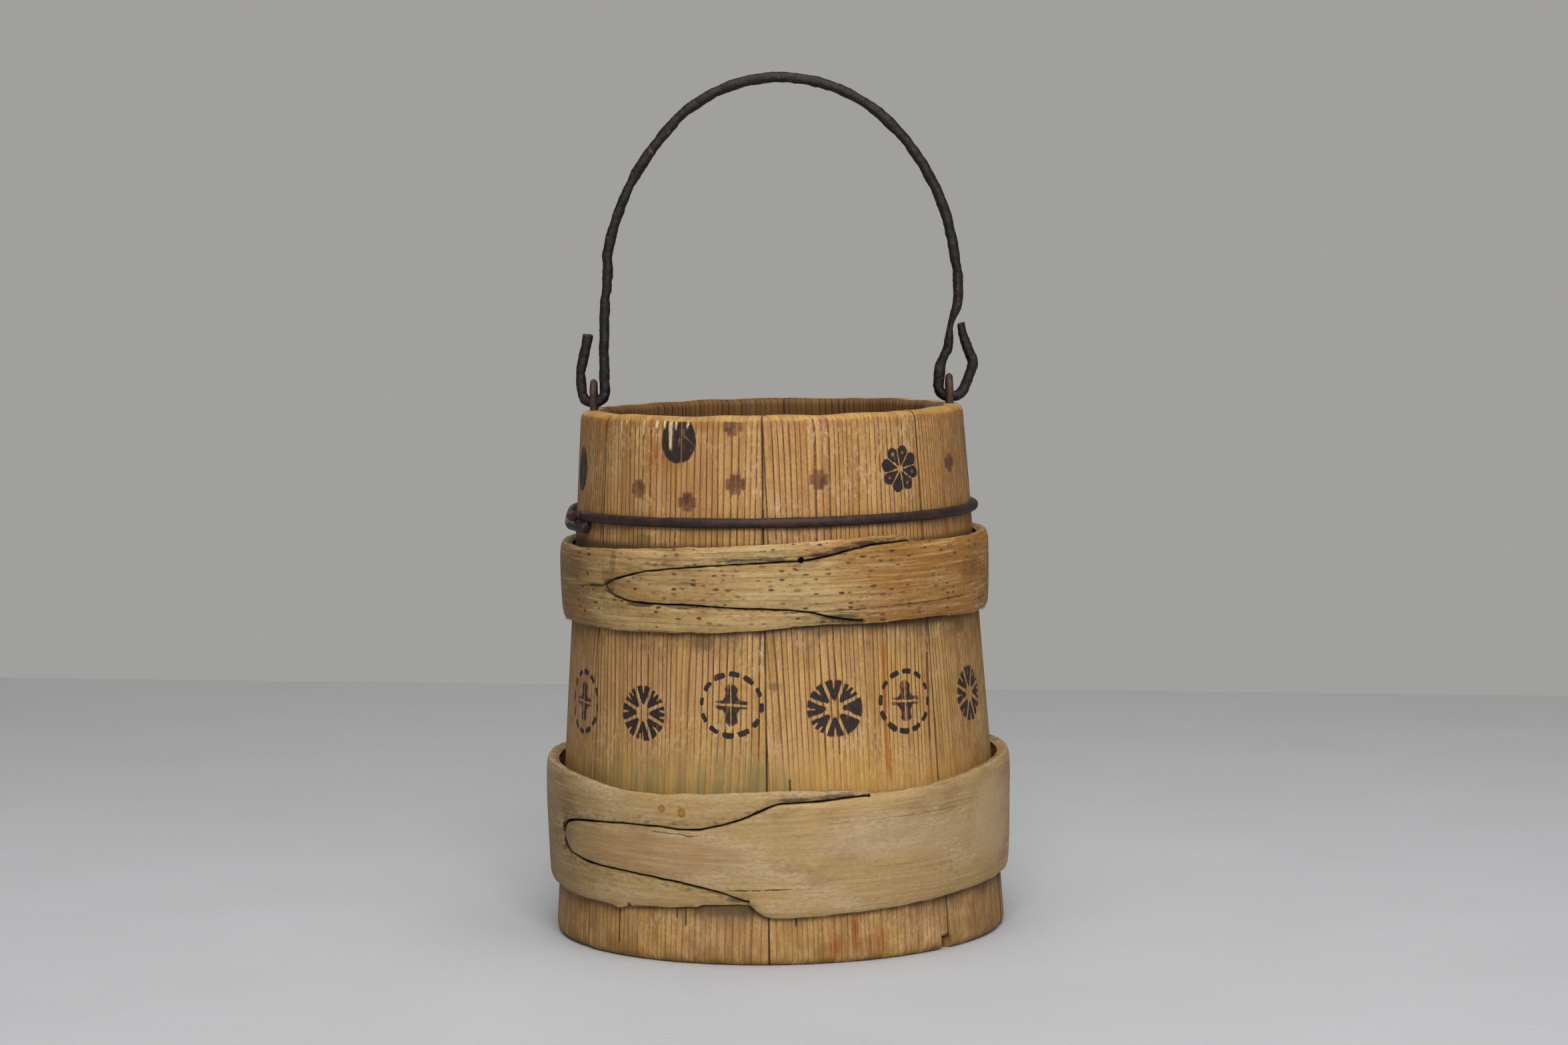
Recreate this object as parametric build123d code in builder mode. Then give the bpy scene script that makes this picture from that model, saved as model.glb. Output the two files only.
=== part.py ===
"""Stave-built wooden pail with two locked wooden hoops, an iron wire hoop and a swinging iron bail.

Millimetres, +Z up. The pail stands on z = 0 with its axis on Z, and its front faces -Y.
An azimuth is measured round the axis from the front, and grows towards +X.
"""

from build123d import *
import os
from math import cos, degrees, radians, sin, sqrt

os.makedirs("parts", exist_ok=True)

# The stave body
pail_height = 200.0
rim_diameter = 146.0
base_diameter = 173.0
wall = 10.0
rim_round = 2.6
base_round = 3.0
seam_gap = 0.10
seam_azimuths = [-2.8, 46.5, 79.0, 118.0, 153.3, 175.8, 214.0, 257.0, 303.0]

# The bottom board in its croze, the groove round the inside of the staves
croze_level = 16.0
croze_width = 4.6
croze_depth = 4.0
board_thickness = 9.0
board_clearance = 0.15

# The iron wire hoop, let into a shallow groove near the rim
wire_diameter = 3.8
wire_below_rim = 39.0
wire_groove_depth = 1.2
wire_clearance = 0.15
curl_eye = 0.8
curl_turn = 200.0
curl_azimuth = -69.0
stub_gap = 0.45
stub_azimuth = -64.0
stub_bend_azimuth = -112.0
stub_bend_radius = 25.0

# The wooden hoops. Each is one thin strip, bent round and locked by its own ends.
hoop_clearance = 0.15
lap_gap = 0.6
upper_hoop_below_stub = 2.85
upper_hoop_height = 31.0
upper_hoop_thickness = 3.5
upper_hoop_flare = 0.4
peg_hole_diameter = 2.8
lower_hoop_level = 20.0
lower_hoop_height = 45.0
lower_hoop_thickness = 3.2
lower_hoop_flare = 0.9

# The two staples in the rim that the bail hangs from
staple_wire_diameter = 2.8
staple_stand = 11.3
staple_depth = 26.0
staple_point = 0.9
staple_clearance = 0.10

# The bail
bail_diameter = 4.0
bail_rise = 126.5
bail_crown_offset = 4.0
rim_clearance = 0.35
eye_clearance = 1.3
hook_clearance = 0.9
hook_flat = 0.2
hook_knee_radius = 7.0
left_leg_height = 37.0
left_knee = (-0.9, 11.0)
left_tip = (1.8, 26.0)
right_leg_height = 45.0
right_leg_lean = 7.5
right_leg_bend = 14.0
right_leg_radius = 22.0
right_knee = (5.0, 13.0)
right_tip = (1.0, 28.0)

# Sizes that follow from those above
rim_radius = rim_diameter / 2
base_radius = base_diameter / 2
taper = (base_radius - rim_radius) / pail_height
eye_radius = rim_radius - wall / 2
bail_radius = bail_diameter / 2
wire_radius = wire_diameter / 2
staple_wire_radius = staple_wire_diameter / 2
staple_leg = bail_radius + eye_clearance + staple_wire_radius
hook_width = bail_diameter + staple_wire_diameter + 2 * hook_clearance
hook_radius = (hook_width - hook_flat) / 2
pivot_level = pail_height + bail_radius + rim_clearance
wire_level = pail_height - wire_below_rim
stub_level = wire_level - wire_diameter - stub_gap
curl_radius = wire_radius + curl_eye / 2
upper_hoop_level = stub_level - wire_radius - upper_hoop_below_stub - upper_hoop_height


def outer_radius(level):
    """The radius of the pail's outside at a level."""
    return base_radius - taper * level


def inner_radius(level):
    """The radius of the pail's inside at a level."""
    return outer_radius(level) - wall


def upright_plane(azimuth):
    """The plane through the axis at an azimuth, with its x outwards and its y up."""
    a = radians(azimuth)
    return Plane(origin=(0, 0, 0), x_dir=(sin(a), -cos(a), 0), z_dir=(-cos(a), -sin(a), 0))


def ring_point(radius, azimuth, level):
    """A point on a level ring round the axis."""
    a = radians(azimuth)
    return (radius * sin(a), -radius * cos(a), level)


wire_ring_radius = outer_radius(wire_level) - wire_groove_depth + wire_radius + wire_clearance

# Staves: one wall section turned through each stave's own share of the circle.
# The two that carry a staple have its leg holes in their upper ends.
stave_ends = seam_azimuths[1:] + [seam_azimuths[0] + 360.0]
for number, (start, end) in enumerate(zip(seam_azimuths, stave_ends), start=1):
    half_gap = degrees(seam_gap / 2 / rim_radius)
    with BuildPart() as stave:
        with BuildSketch(upright_plane(start + half_gap)) as section:
            with BuildLine():
                Polyline(
                    (inner_radius(0), 0),
                    (outer_radius(0), 0),
                    (outer_radius(pail_height), pail_height),
                    (inner_radius(pail_height), pail_height),
                    close=True,
                )
            make_face()
            fillet(section.vertices().group_by(Axis.Y)[-1], rim_round)
            fillet(section.vertices().group_by(Axis.Y)[0].sort_by(Axis.X)[-1], base_round)
            with Locations((wire_ring_radius, wire_level)):
                Circle(wire_radius + wire_clearance, mode=Mode.SUBTRACT)
            with Locations((inner_radius(croze_level), croze_level)):
                Rectangle(2 * croze_depth, croze_width, mode=Mode.SUBTRACT)
        revolve(axis=Axis.Z, revolution_arc=end - start - 2 * half_gap)
        for side in (90.0, 270.0):
            if start < side < end:
                with BuildSketch(Plane.XY.offset(pail_height)):
                    with Locations(ring_point(eye_radius, side, 0)[:2]):
                        with Locations((0, staple_leg), (0, -staple_leg)):
                            Circle(staple_wire_radius + staple_clearance)
                extrude(amount=-staple_depth - staple_clearance, mode=Mode.SUBTRACT)
    stave.part.label = f"stave_{number}"
    export_step(stave.part, f"parts/stave_{number}.step")

# Bottom board: a disc, thinned at its edge on the upper side to enter the croze.
board_edge = croze_width - 2 * board_clearance
board_low = croze_level - board_edge / 2
with BuildPart() as bottom_board:
    with BuildSketch(upright_plane(0)):
        with BuildLine():
            Polyline(
                (0, board_low),
                (inner_radius(board_low) + croze_depth - board_clearance, board_low),
                (inner_radius(board_low) + croze_depth - board_clearance, board_low + board_edge),
                (inner_radius(board_low) - board_clearance, board_low + board_edge),
                (inner_radius(board_low) - board_thickness, board_low + board_thickness),
                (0, board_low + board_thickness),
                close=True,
            )
        make_face()
    revolve(axis=Axis.Z)
bottom_board.part.label = "bottom_board"
export_step(bottom_board.part, "parts/bottom_board.step")

# Wooden hoops. The lap is drawn as it is seen from the front: an azimuth round the hoop and a
# share of the hoop's height. The right end is a tongue that lies between the two prongs of the
# left end. Its tip, and the ends of the prongs, run in under the other end on a slant.
hoops = [
    {
        "name": "upper_hoop",
        "level": upper_hoop_level,
        "height": upper_hoop_height,
        "thickness": upper_hoop_thickness,
        "flare": upper_hoop_flare,
        "left_edge": (0.0, 0.93),
        "right_edge": (0.02, 1.0),
        "fork_top": [(-20, 1.02), (32, 1.10)],
        "tongue_top": [(38, 1.01)],
        "fork_bottom": [(-30, 0.0), (8, 0.05)],
        "tongue_bottom": [(26, 0.09), (45, 0.08)],
        "above_tongue": [(-50.5, 0.50), (-40, 0.67), (-18, 0.80), (6, 0.85), (22, 0.98), (40, 1.06)],
        "below_tongue": [(-50.5, 0.50), (-42, 0.35), (-20, 0.33), (4, 0.28), (15, 0.17), (30, 0.02)],
        "peg_holes": [(6.9, 0.865)],
    },
    {
        "name": "lower_hoop",
        "level": lower_hoop_level,
        "height": lower_hoop_height,
        "thickness": lower_hoop_thickness,
        "flare": lower_hoop_flare,
        "left_edge": (0.0, 1.03),
        "right_edge": (0.08, 1.04),
        "fork_top": [(-38, 0.95), (5, 0.99)],
        "tongue_top": [(30, 0.93), (45, 0.96)],
        "fork_bottom": [(-45, -0.02), (-12, 0.06)],
        "tongue_bottom": [(-2, -0.05), (35, -0.01)],
        "above_tongue": [(-66, 0.48), (-50, 0.66), (-24, 0.67), (-8, 0.79), (4, 0.89), (36, 0.97)],
        "below_tongue": [(-66, 0.48), (-50, 0.30), (-22, 0.22), (-10, 0.11), (-4, -0.12)],
        "peg_holes": [],
    },
]
for spec in hoops:
    level, height = spec["level"], spec["height"]
    thickness, flare = spec["thickness"], spec["flare"]
    bottom_shares = [spec["left_edge"], spec["right_edge"]]
    bottom_shares = [low for low, high in bottom_shares]
    bottom_shares += [share for azimuth, share in spec["fork_bottom"] + spec["tongue_bottom"]]
    lowest = level + min(bottom_shares) * height
    hoop_inner = outer_radius(lowest) + hoop_clearance
    hoop_outer = hoop_inner + thickness
    reach = hoop_outer + 2 * abs(flare)
    lean = flare / height
    spare = 0.3 * height
    view_radius = hoop_outer + flare / 2

    def seen(key):
        """The named points of the lap as the front view shows them."""
        return [(view_radius * sin(radians(a)), level + share * height) for a, share in spec[key]]

    left_low, left_high = [level + share * height for share in spec["left_edge"]]
    right_low, right_high = [level + share * height for share in spec["right_edge"]]
    with BuildPart() as hoop:
        with BuildSketch(Plane.XZ):
            with BuildLine():
                Polyline(
                    (-reach, left_high),
                    *seen("fork_top"),
                    *seen("tongue_top"),
                    (reach, right_high),
                    (reach, right_low),
                    *reversed(seen("tongue_bottom")),
                    *reversed(seen("fork_bottom")),
                    (-reach, left_low),
                    close=True,
                )
            make_face()
            with BuildLine():
                Spline(*seen("above_tongue"))
            trace(line_width=lap_gap, mode=Mode.SUBTRACT)
            with BuildLine():
                Spline(*seen("below_tongue"))
            trace(line_width=lap_gap, mode=Mode.SUBTRACT)
            with Locations(seen("above_tongue")[0]):
                Circle(lap_gap / 2, mode=Mode.SUBTRACT)
            for centre in seen("peg_holes"):
                with Locations(centre):
                    Circle(peg_hole_diameter / 2, mode=Mode.SUBTRACT)
        extrude(amount=reach)
        with BuildSketch(Plane.XZ):
            with BuildLine():
                Polyline(
                    (-reach, left_high),
                    (reach, right_high),
                    (reach, right_low),
                    (-reach, left_low),
                    close=True,
                )
            make_face()
        extrude(amount=-reach)
        with BuildSketch(Plane.XZ):
            with BuildLine():
                Polyline(
                    (hoop_inner - lean * spare, level - spare),
                    (hoop_outer - lean * spare, level - spare),
                    (hoop_outer + flare + lean * spare, level + height + spare),
                    (hoop_inner + flare + lean * spare, level + height + spare),
                    close=True,
                )
            make_face()
        revolve(axis=Axis.Z, mode=Mode.INTERSECT)
    hoop.part.label = spec["name"]
    export_step(hoop.part, f"parts/{spec['name']}.step")

# Wire hoop: one round of wire in the groove. One end is rolled outwards into a curl, and the
# other comes round from behind, drops below the curl and ends in a short stub.
stub_ring_radius = outer_radius(stub_level) + wire_radius + 2 * wire_clearance
stub_step = (stub_azimuth - stub_bend_azimuth) / 5
corner_stretch = 1 / cos(radians(stub_step / 2))
stub_corners = [
    (wire_ring_radius, wire_level),
    (stub_ring_radius, wire_level),
    (stub_ring_radius, stub_level),
    (stub_ring_radius, stub_level),
    (stub_ring_radius, stub_level),
]
curl_centre = ring_point(wire_ring_radius + curl_radius, curl_azimuth, wire_level)
with BuildPart() as wire_hoop:
    with BuildSketch(upright_plane(curl_azimuth)):
        with Locations((wire_ring_radius, wire_level)):
            Circle(wire_radius)
    revolve(axis=Axis.Z, revolution_arc=360.0 + stub_bend_azimuth - curl_azimuth)
    with BuildSketch(upright_plane(curl_azimuth)):
        with Locations((wire_ring_radius, wire_level)):
            Circle(wire_radius)
    revolve(axis=Axis(curl_centre, (0, 0, 1)), revolution_arc=curl_turn)
    with BuildLine() as stub_path:
        FilletPolyline(
            ring_point(wire_ring_radius, stub_bend_azimuth, wire_level),
            *[
                ring_point(radius * corner_stretch, stub_bend_azimuth + (turn + 0.5) * stub_step, corner_level)
                for turn, (radius, corner_level) in enumerate(stub_corners)
            ],
            ring_point(stub_ring_radius, stub_azimuth, stub_level),
            radius=stub_bend_radius,
        )
    with BuildSketch(Plane(origin=stub_path.line @ 0, z_dir=stub_path.line % 0)):
        Circle(wire_radius)
    sweep()
wire_hoop.part.label = "wire_hoop"
export_step(wire_hoop.part, "parts/wire_hoop.step")

# Staples: a round-topped loop of wire across the rim's thickness line, its legs in the end grain.
for name, side in (("staple_left", -1), ("staple_right", 1)):
    loop_centre = pail_height + staple_stand - staple_wire_radius - staple_leg
    with BuildPart() as staple:
        with BuildLine(Plane.YZ.offset(side * eye_radius)) as staple_path:
            leg = Line((-staple_leg, pail_height - staple_depth), (-staple_leg, loop_centre))
            loop = JernArc(leg @ 1, leg % 1, staple_leg, -180)
            Line(loop @ 1, (staple_leg, pail_height - staple_depth))
        with BuildSketch(Plane(origin=staple_path.line @ 0, z_dir=staple_path.line % 0)):
            Circle(staple_wire_radius)
        sweep()
        chamfer(staple.edges().group_by(Axis.Z)[0], staple_point)
    staple.part.label = name
    export_step(staple.part, f"parts/{name}.step")

# Bail: one rod. Each half of the arch is two tangent arcs of 45 degrees, and each foot is a hook
# that passes through its staple. The left leg is straight, and the right one leans in.
half_hook = hook_width / 2
left_leg = -eye_radius + half_hook
right_leg = eye_radius - half_hook + right_leg_lean
crown_level = pivot_level + bail_rise - bail_diameter
quarter = sqrt(0.5)


def oval_radii(width, rise):
    """Radii of the two 45 degree arcs, from upright to level, that cover a width and a rise."""
    crown_radius = (quarter * width - (1 - quarter) * rise) / (2 * quarter - 1)
    side_radius = (quarter * rise - (1 - quarter) * width) / (2 * quarter - 1)
    return side_radius, crown_radius


left_foot = (left_leg, pivot_level + left_leg_height)
right_foot = (right_leg, pivot_level + right_leg_height)
left_side, left_crown = oval_radii(bail_crown_offset - left_leg, crown_level - left_foot[1])
right_side, right_crown = oval_radii(right_leg - bail_crown_offset, crown_level - right_foot[1])
with BuildPart() as bail:
    with BuildLine(Plane.XZ) as bail_path:
        FilletPolyline(
            (-eye_radius - half_hook + left_tip[0], pivot_level + left_tip[1]),
            (-eye_radius - half_hook + left_knee[0], pivot_level + left_knee[1]),
            (-eye_radius - half_hook, pivot_level),
            (left_leg, pivot_level),
            left_foot,
            radius=[hook_knee_radius, hook_radius, hook_radius],
        )
        rising = JernArc(left_foot, (0, 1), left_side, -45)
        over_left = JernArc(rising @ 1, rising % 1, left_crown, -45)
        over_right = JernArc(over_left @ 1, over_left % 1, right_crown, -45)
        JernArc(over_right @ 1, over_right % 1, right_side, -45)
        FilletPolyline(
            right_foot,
            (right_leg, pivot_level + right_leg_height - right_leg_lean),
            (right_leg - right_leg_lean, pivot_level + right_leg_bend),
            (right_leg - right_leg_lean, pivot_level),
            (eye_radius + half_hook, pivot_level),
            (eye_radius + half_hook + right_knee[0], pivot_level + right_knee[1]),
            (eye_radius + half_hook + right_tip[0], pivot_level + right_tip[1]),
            radius=[right_leg_radius, right_leg_radius, hook_radius, hook_radius, hook_knee_radius],
        )
    with BuildSketch(Plane(origin=bail_path.line @ 0, z_dir=bail_path.line % 0)):
        Circle(bail_radius)
    sweep()
bail.part.label = "bail"
export_step(bail.part, "parts/bail.step")
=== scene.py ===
"""The looks of a small stave-built pail: pine staves, two lapped wooden hoops, an iron wire and a bail.

Lengths are in metres where a piece is modelled and in millimetres inside the finishes. An azimuth is
measured round the pail from its front, which faces -Y, and grows towards +X.
"""

import math

import bmesh
import bpy
import numpy as np
from mathutils import Matrix, Vector, noise


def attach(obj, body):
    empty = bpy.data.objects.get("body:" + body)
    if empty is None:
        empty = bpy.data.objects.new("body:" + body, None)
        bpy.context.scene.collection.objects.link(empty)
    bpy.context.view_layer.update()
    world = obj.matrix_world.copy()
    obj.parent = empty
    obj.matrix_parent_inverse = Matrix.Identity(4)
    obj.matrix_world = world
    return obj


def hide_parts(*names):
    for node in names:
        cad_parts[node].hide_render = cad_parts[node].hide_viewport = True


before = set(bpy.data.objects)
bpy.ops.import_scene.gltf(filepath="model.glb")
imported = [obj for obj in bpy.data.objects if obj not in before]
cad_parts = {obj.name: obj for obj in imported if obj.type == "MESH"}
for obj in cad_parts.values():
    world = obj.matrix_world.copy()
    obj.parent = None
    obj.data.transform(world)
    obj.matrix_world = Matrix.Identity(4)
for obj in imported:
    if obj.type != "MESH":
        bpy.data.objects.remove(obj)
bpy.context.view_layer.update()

MM = 0.001
MERGE = 0.002 * MM
STAVES = [f"stave_{number}" for number in range(1, 10)]


def reach(point):
    """A point's distance from the pail's axis."""
    return math.hypot(point.x, point.y)


def azimuth(point):
    """A point's azimuth, in radians."""
    return math.atan2(point.x, -point.y)


def spot(turn, radius, level):
    """The point at an azimuth, a distance from the axis and a height."""
    return Vector((radius * math.sin(turn), -radius * math.cos(turn), level))


def half_turn(turn):
    """The same azimuth, between minus and plus half a turn."""
    return (turn + math.pi) % (2 * math.pi) - math.pi


def points(node):
    """The corners of a node of the frame."""
    return [vertex.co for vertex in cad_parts[node].data.vertices]


# The wall's taper and thickness, and each stave's arc, are measured on the frame.
wall_points = [point for node in STAVES for point in points(node)]
RIM = max(point.z for point in wall_points)
near_rim = [point for point in wall_points if point.z > 0.9 * RIM]
foot, shoulder = max(wall_points, key=reach), max(near_rim, key=reach)
TAPER = (reach(shoulder) - reach(foot)) / (shoulder.z - foot.z)
FOOT_RADIUS = reach(foot) - TAPER * foot.z
WALL = FOOT_RADIUS + TAPER * RIM - min(map(reach, near_rim))


def wall_radius(level):
    """The radius of the wall's outer face at a height."""
    return FOOT_RADIUS + TAPER * level


def stave_arc(node):
    """A stave's first and last azimuth."""
    middle = azimuth(sum(points(node), Vector()))
    turns = [half_turn(azimuth(point) - middle) for point in points(node)]
    return middle + min(turns), middle + max(turns)


# Small jobs at the bench


def take(obj):
    """Makes one object the only selected and the active one."""
    bpy.ops.object.select_all(action="DESELECT")
    obj.select_set(True)
    bpy.context.view_layer.objects.active = obj


def new_piece(name):
    """Names the primitive that was just added."""
    obj = bpy.context.view_layer.objects.active
    obj.name = obj.data.name = name
    return obj


def apply(obj, kind, **settings):
    """Adds a modifier to a piece and applies it."""
    modifier = obj.modifiers.new(kind.lower(), kind)
    for key, value in settings.items():
        setattr(modifier, key, value)
    take(obj)
    bpy.ops.object.modifier_apply(modifier=modifier.name)


def edit(obj):
    """Opens a piece in edit mode with nothing selected."""
    take(obj)
    bpy.ops.object.mode_set(mode="EDIT")
    bpy.ops.mesh.select_mode(type="VERT")
    bpy.ops.mesh.select_all(action="DESELECT")


def choose(obj, test):
    """Selects only the vertices of the piece in edit mode whose place passes the test."""
    bpy.ops.mesh.select_all(action="DESELECT")
    mesh = bmesh.from_edit_mesh(obj.data)
    for vertex in mesh.verts:
        vertex.select_set(test(vertex.co))
    mesh.select_flush(True)
    bmesh.update_edit_mesh(obj.data)


def close_edit():
    """Merges what lies on top of each other, turns the faces outwards and leaves edit mode."""
    bpy.ops.mesh.select_all(action="SELECT")
    bpy.ops.mesh.remove_doubles(threshold=MERGE)
    bpy.ops.mesh.normals_make_consistent(inside=False)
    bpy.ops.object.mode_set(mode="OBJECT")


def reshape(obj, move):
    """Moves each vertex of a piece to where the function puts it."""
    for vertex in obj.data.vertices:
        vertex.co = move(vertex.co)
    obj.data.update()


def smooth(obj, degrees):
    """Shades a piece smooth, except over edges sharper than the angle."""
    take(obj)
    bpy.ops.object.shade_smooth_by_angle(angle=math.radians(degrees))


def dress(obj, finish, body, slot, *nodes):
    """Gives a piece its finish, if it has none yet, and its body, and hides the nodes it stands for. The
    slot is not used.
    """
    if not obj.data.materials:
        obj.data.materials.append(finish.material)
    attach(obj, body)
    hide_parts(*nodes)


def bell(distance, width):
    """A soft bump of height 1 at distance 0."""
    return math.exp(-((distance / width) ** 2))


def step(value, low, high):
    """A soft rise from 0 to 1 between two values."""
    share = min(1.0, max(0.0, (value - low) / (high - low)))
    return share * share * (3 - 2 * share)


def wave(*place):
    """Smooth unevenness between -1 and 1, the same on every run."""
    return noise.noise(Vector(place))


# Finishes


def tint(red, green, blue):
    """A colour given in the usual 0 to 255 steps, as the shaders take it."""
    steps = [channel / 255 for channel in (red, green, blue)]
    return tuple(s / 12.92 if s <= 0.04045 else ((s + 0.055) / 1.055) ** 2.4 for s in steps) + (1.0,)


def operator(operation, swapped=False):
    """A method of Paint that adds a Math node, with its values swapped for a reflected operator."""
    def method(self, *others):
        return self.finish.math(operation, *((*others, self) if swapped else (self, *others)))

    return method


class Paint:
    """One shader value. Python's operators on it add Math nodes to its finish."""

    def __init__(self, finish, socket):
        self.finish = finish
        self.socket = socket

    __add__, __radd__ = operator("ADD"), operator("ADD", True)
    __sub__, __rsub__ = operator("SUBTRACT"), operator("SUBTRACT", True)
    __mul__, __rmul__ = operator("MULTIPLY"), operator("MULTIPLY", True)
    __truediv__, __rtruediv__ = operator("DIVIDE"), operator("DIVIDE", True)
    __pow__, __abs__ = operator("POWER"), operator("ABSOLUTE")
    floor, most = operator("FLOOR"), operator("MAXIMUM")


class Finish:
    """A material, or the room's light on the shelf of worlds, and its nodes."""

    def __init__(self, name, shelf="materials"):
        self.material = getattr(bpy.data, shelf).new(name)
        self.material.use_nodes = True
        self.tree = self.material.node_tree
        self.tree.nodes.clear()

    def node(self, kind, settings, sockets, output=0):
        """Adds a node, sets it, fills its sockets with values or links and gives back its outputs."""
        made = self.tree.nodes.new(kind)
        for key, value in settings.items():
            setattr(made, key, value)
        for key, value in sockets.items() if isinstance(sockets, dict) else enumerate(sockets):
            if isinstance(value, Paint):
                self.tree.links.new(value.socket, made.inputs[key])
            else:
                made.inputs[key].default_value = value
        if isinstance(output, tuple):
            return [Paint(self, made.outputs[number]) for number in output]
        return Paint(self, made.outputs[output])

    def math(self, operation, *values):
        return self.node("ShaderNodeMath", {"operation": operation}, values)

    def join(self, x, y, z=0.0):
        return self.node("ShaderNodeCombineXYZ", {}, [x, y, z])

    def split(self, vector):
        return self.node("ShaderNodeSeparateXYZ", {}, [vector], output=(0, 1, 2))

    def place(self):
        """The place on the object, in millimetres."""
        there = self.node("ShaderNodeTexCoord", {}, {}, output="Object")
        larger = self.node("ShaderNodeMapping", {}, {"Vector": there, "Scale": (1 / MM,) * 3})
        return self.split(larger)

    def attribute(self, name):
        """A number that the piece's points carry."""
        settings = {"attribute_type": "GEOMETRY", "attribute_name": name}
        return self.node("ShaderNodeAttribute", settings, {}, output="Fac")

    def rise(self, value, low, high, ends=(0.0, 1.0)):
        """A soft step from 0 at the low value to 1 at the high one."""
        return self.node(
            "ShaderNodeMapRange", {"interpolation_type": "SMOOTHSTEP"}, [value, low, high, *ends])

    def fall(self, value, low, high):
        """A soft step from 1 at the low value to 0 at the high one."""
        return self.rise(value, low, high, (1.0, 0.0))

    def band(self, value, low, full, end, high):
        """A soft window: 0 below the low value, 1 from full to end and 0 above the high one."""
        return self.rise(value, low, full) * self.fall(value, end, high)

    def clouds(self, x, y, z=0.0, detail=2.0, roughness=0.5):
        """Noise from 0 to 1 about one unit across, at a place in three coordinates."""
        return self.node(
            "ShaderNodeTexNoise", {"noise_dimensions": "3D"},
            {"Vector": self.join(x, y, z), "Scale": 1.0, "Detail": detail, "Roughness": roughness})

    def chance(self, value):
        """A random number from 0 to 1 for each whole value."""
        return self.node("ShaderNodeTexWhiteNoise", {"noise_dimensions": "1D"}, {"W": value})

    def blend(self, share, first, second):
        """Two colours mixed by a share."""
        sockets = {0: share, 6: first, 7: second}
        return self.node("ShaderNodeMix", {"data_type": "RGBA"}, sockets, output=2)

    def over(self, colour, *layers):
        """Lays colours over the first one, each by its share."""
        for share, layer in layers:
            colour = self.blend(share, colour, layer)
        return colour

    def coat(self, colour, roughness, height, **fixed):
        """Joins the colour, roughness and height, in millimetres, in the surface shader."""
        relief = self.node("ShaderNodeBump", {}, {"Strength": 1.0, "Distance": MM, "Height": height})
        surface = self.node(
            "ShaderNodeBsdfPrincipled", {},
            {"Base Color": colour, "Roughness": roughness, "Normal": relief, **fixed})
        self.node("ShaderNodeOutputMaterial", {}, {"Surface": surface}, output=())
        return self


# Burnt marks. Each is a mask over u and v, the millimetres across and up from its middle.


def sector(turn, count, offset=0.0):
    """Where a turn lies in its sector, from -0.5 to 0.5, and that sector's number."""
    share = turn * (count / (2 * math.pi)) + offset
    number = (share + 0.5).floor()
    return share - number, number


def polar(f, u, v):
    return (u * u + v * v) ** 0.5, f.math("ARCTAN2", u, v)


def wedge_rosette(f, u, v, radius):
    """Eight wedges round a bare hub, most of them notched once or twice at the end."""
    away, turn = polar(f, u, v)
    side, number = sector(turn, 8)
    own = f.chance(number + radius * 3)
    arc = away * (math.pi / 4)
    wedge = f.rise((0.5 - abs(side)) * arc, 0.5, 0.9) * f.rise(away, radius * 0.24, radius * 0.36)
    aside = abs(abs(side) * arc - 1.1 * f.rise(own, 0.84, 0.86))
    notch = f.fall(aside - 1.2 * (away / radius - 0.7), 0.12, 0.42)
    notch = notch * f.rise(away - own * 0.2 * radius, radius * 0.48, radius * 0.62)
    wedge = wedge * f.fall(away + own * 0.8, radius * 0.96, radius * 1.04)
    return wedge * (1 - notch * f.rise(own, 0.14, 0.16))


def dashed_cross(f, u, v, radius):
    """A circle of twelve dashes, and the fainter cross in it, which pale lines split in four."""
    away, turn = polar(f, u, v)
    side, number = sector(turn, 12, -0.2)
    size = 0.5 * f.chance(number + radius * 7) + 0.5 * f.rise(abs(v), radius * 0.3, radius * 0.9)
    along = abs(side) * away * (math.pi / 6) / (1.45 + 0.9 * size)
    outward = abs(away - radius * 0.9) / (0.7 + 0.42 * size)
    dash = f.fall(along ** 4 + outward ** 4, 0.55, 1.35)
    upright = abs(u) - 2.3 - 1.3 * f.fall(abs(v), 1.0, 3.6) - 0.3 * f.rise(abs(v), 4.4, 6.0)
    level = abs(v) - 2.2 + 0.12 * abs(u)
    cross = f.fall(upright, -0.5, 0.2) * f.fall(abs(v) + u * u * 0.25, 7.0, 8.2)
    cross = cross.most(f.fall(level, -0.5, 0.2) * f.fall(abs(u), 5.4, 6.8))
    cross = cross * f.rise(abs(u + 0.15), 0.08, 0.36) * f.rise(abs(v + u * 0.06), 0.26, 0.66)
    return dash.most(cross * 0.66)


def petal_rosette(f, u, v, radius):
    """Eight round petals with a pale eye in each."""
    away, turn = polar(f, u, v)
    side, number = sector(turn, 8, -0.3)
    across = side * away * (math.pi / 4)
    lobe = (across * across + (away - radius * 0.68) ** 2) ** 0.5
    head = f.fall(lobe, radius * 0.25, radius * 0.33)
    border = (0.5 - abs(side)) * away * (math.pi / 4)
    stem = f.rise(border, 0.12, 0.5) * f.fall(away, radius * 0.66, radius * 0.74) * f.rise(away, 0.9, 1.9)
    eye = f.fall(lobe, 0.35, 1.05) * f.rise(f.chance(number + 3), 0.15, 0.3)
    return head.most(stem) * f.rise(border, 0.05, 0.4) * (1 - 0.7 * eye)


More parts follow.
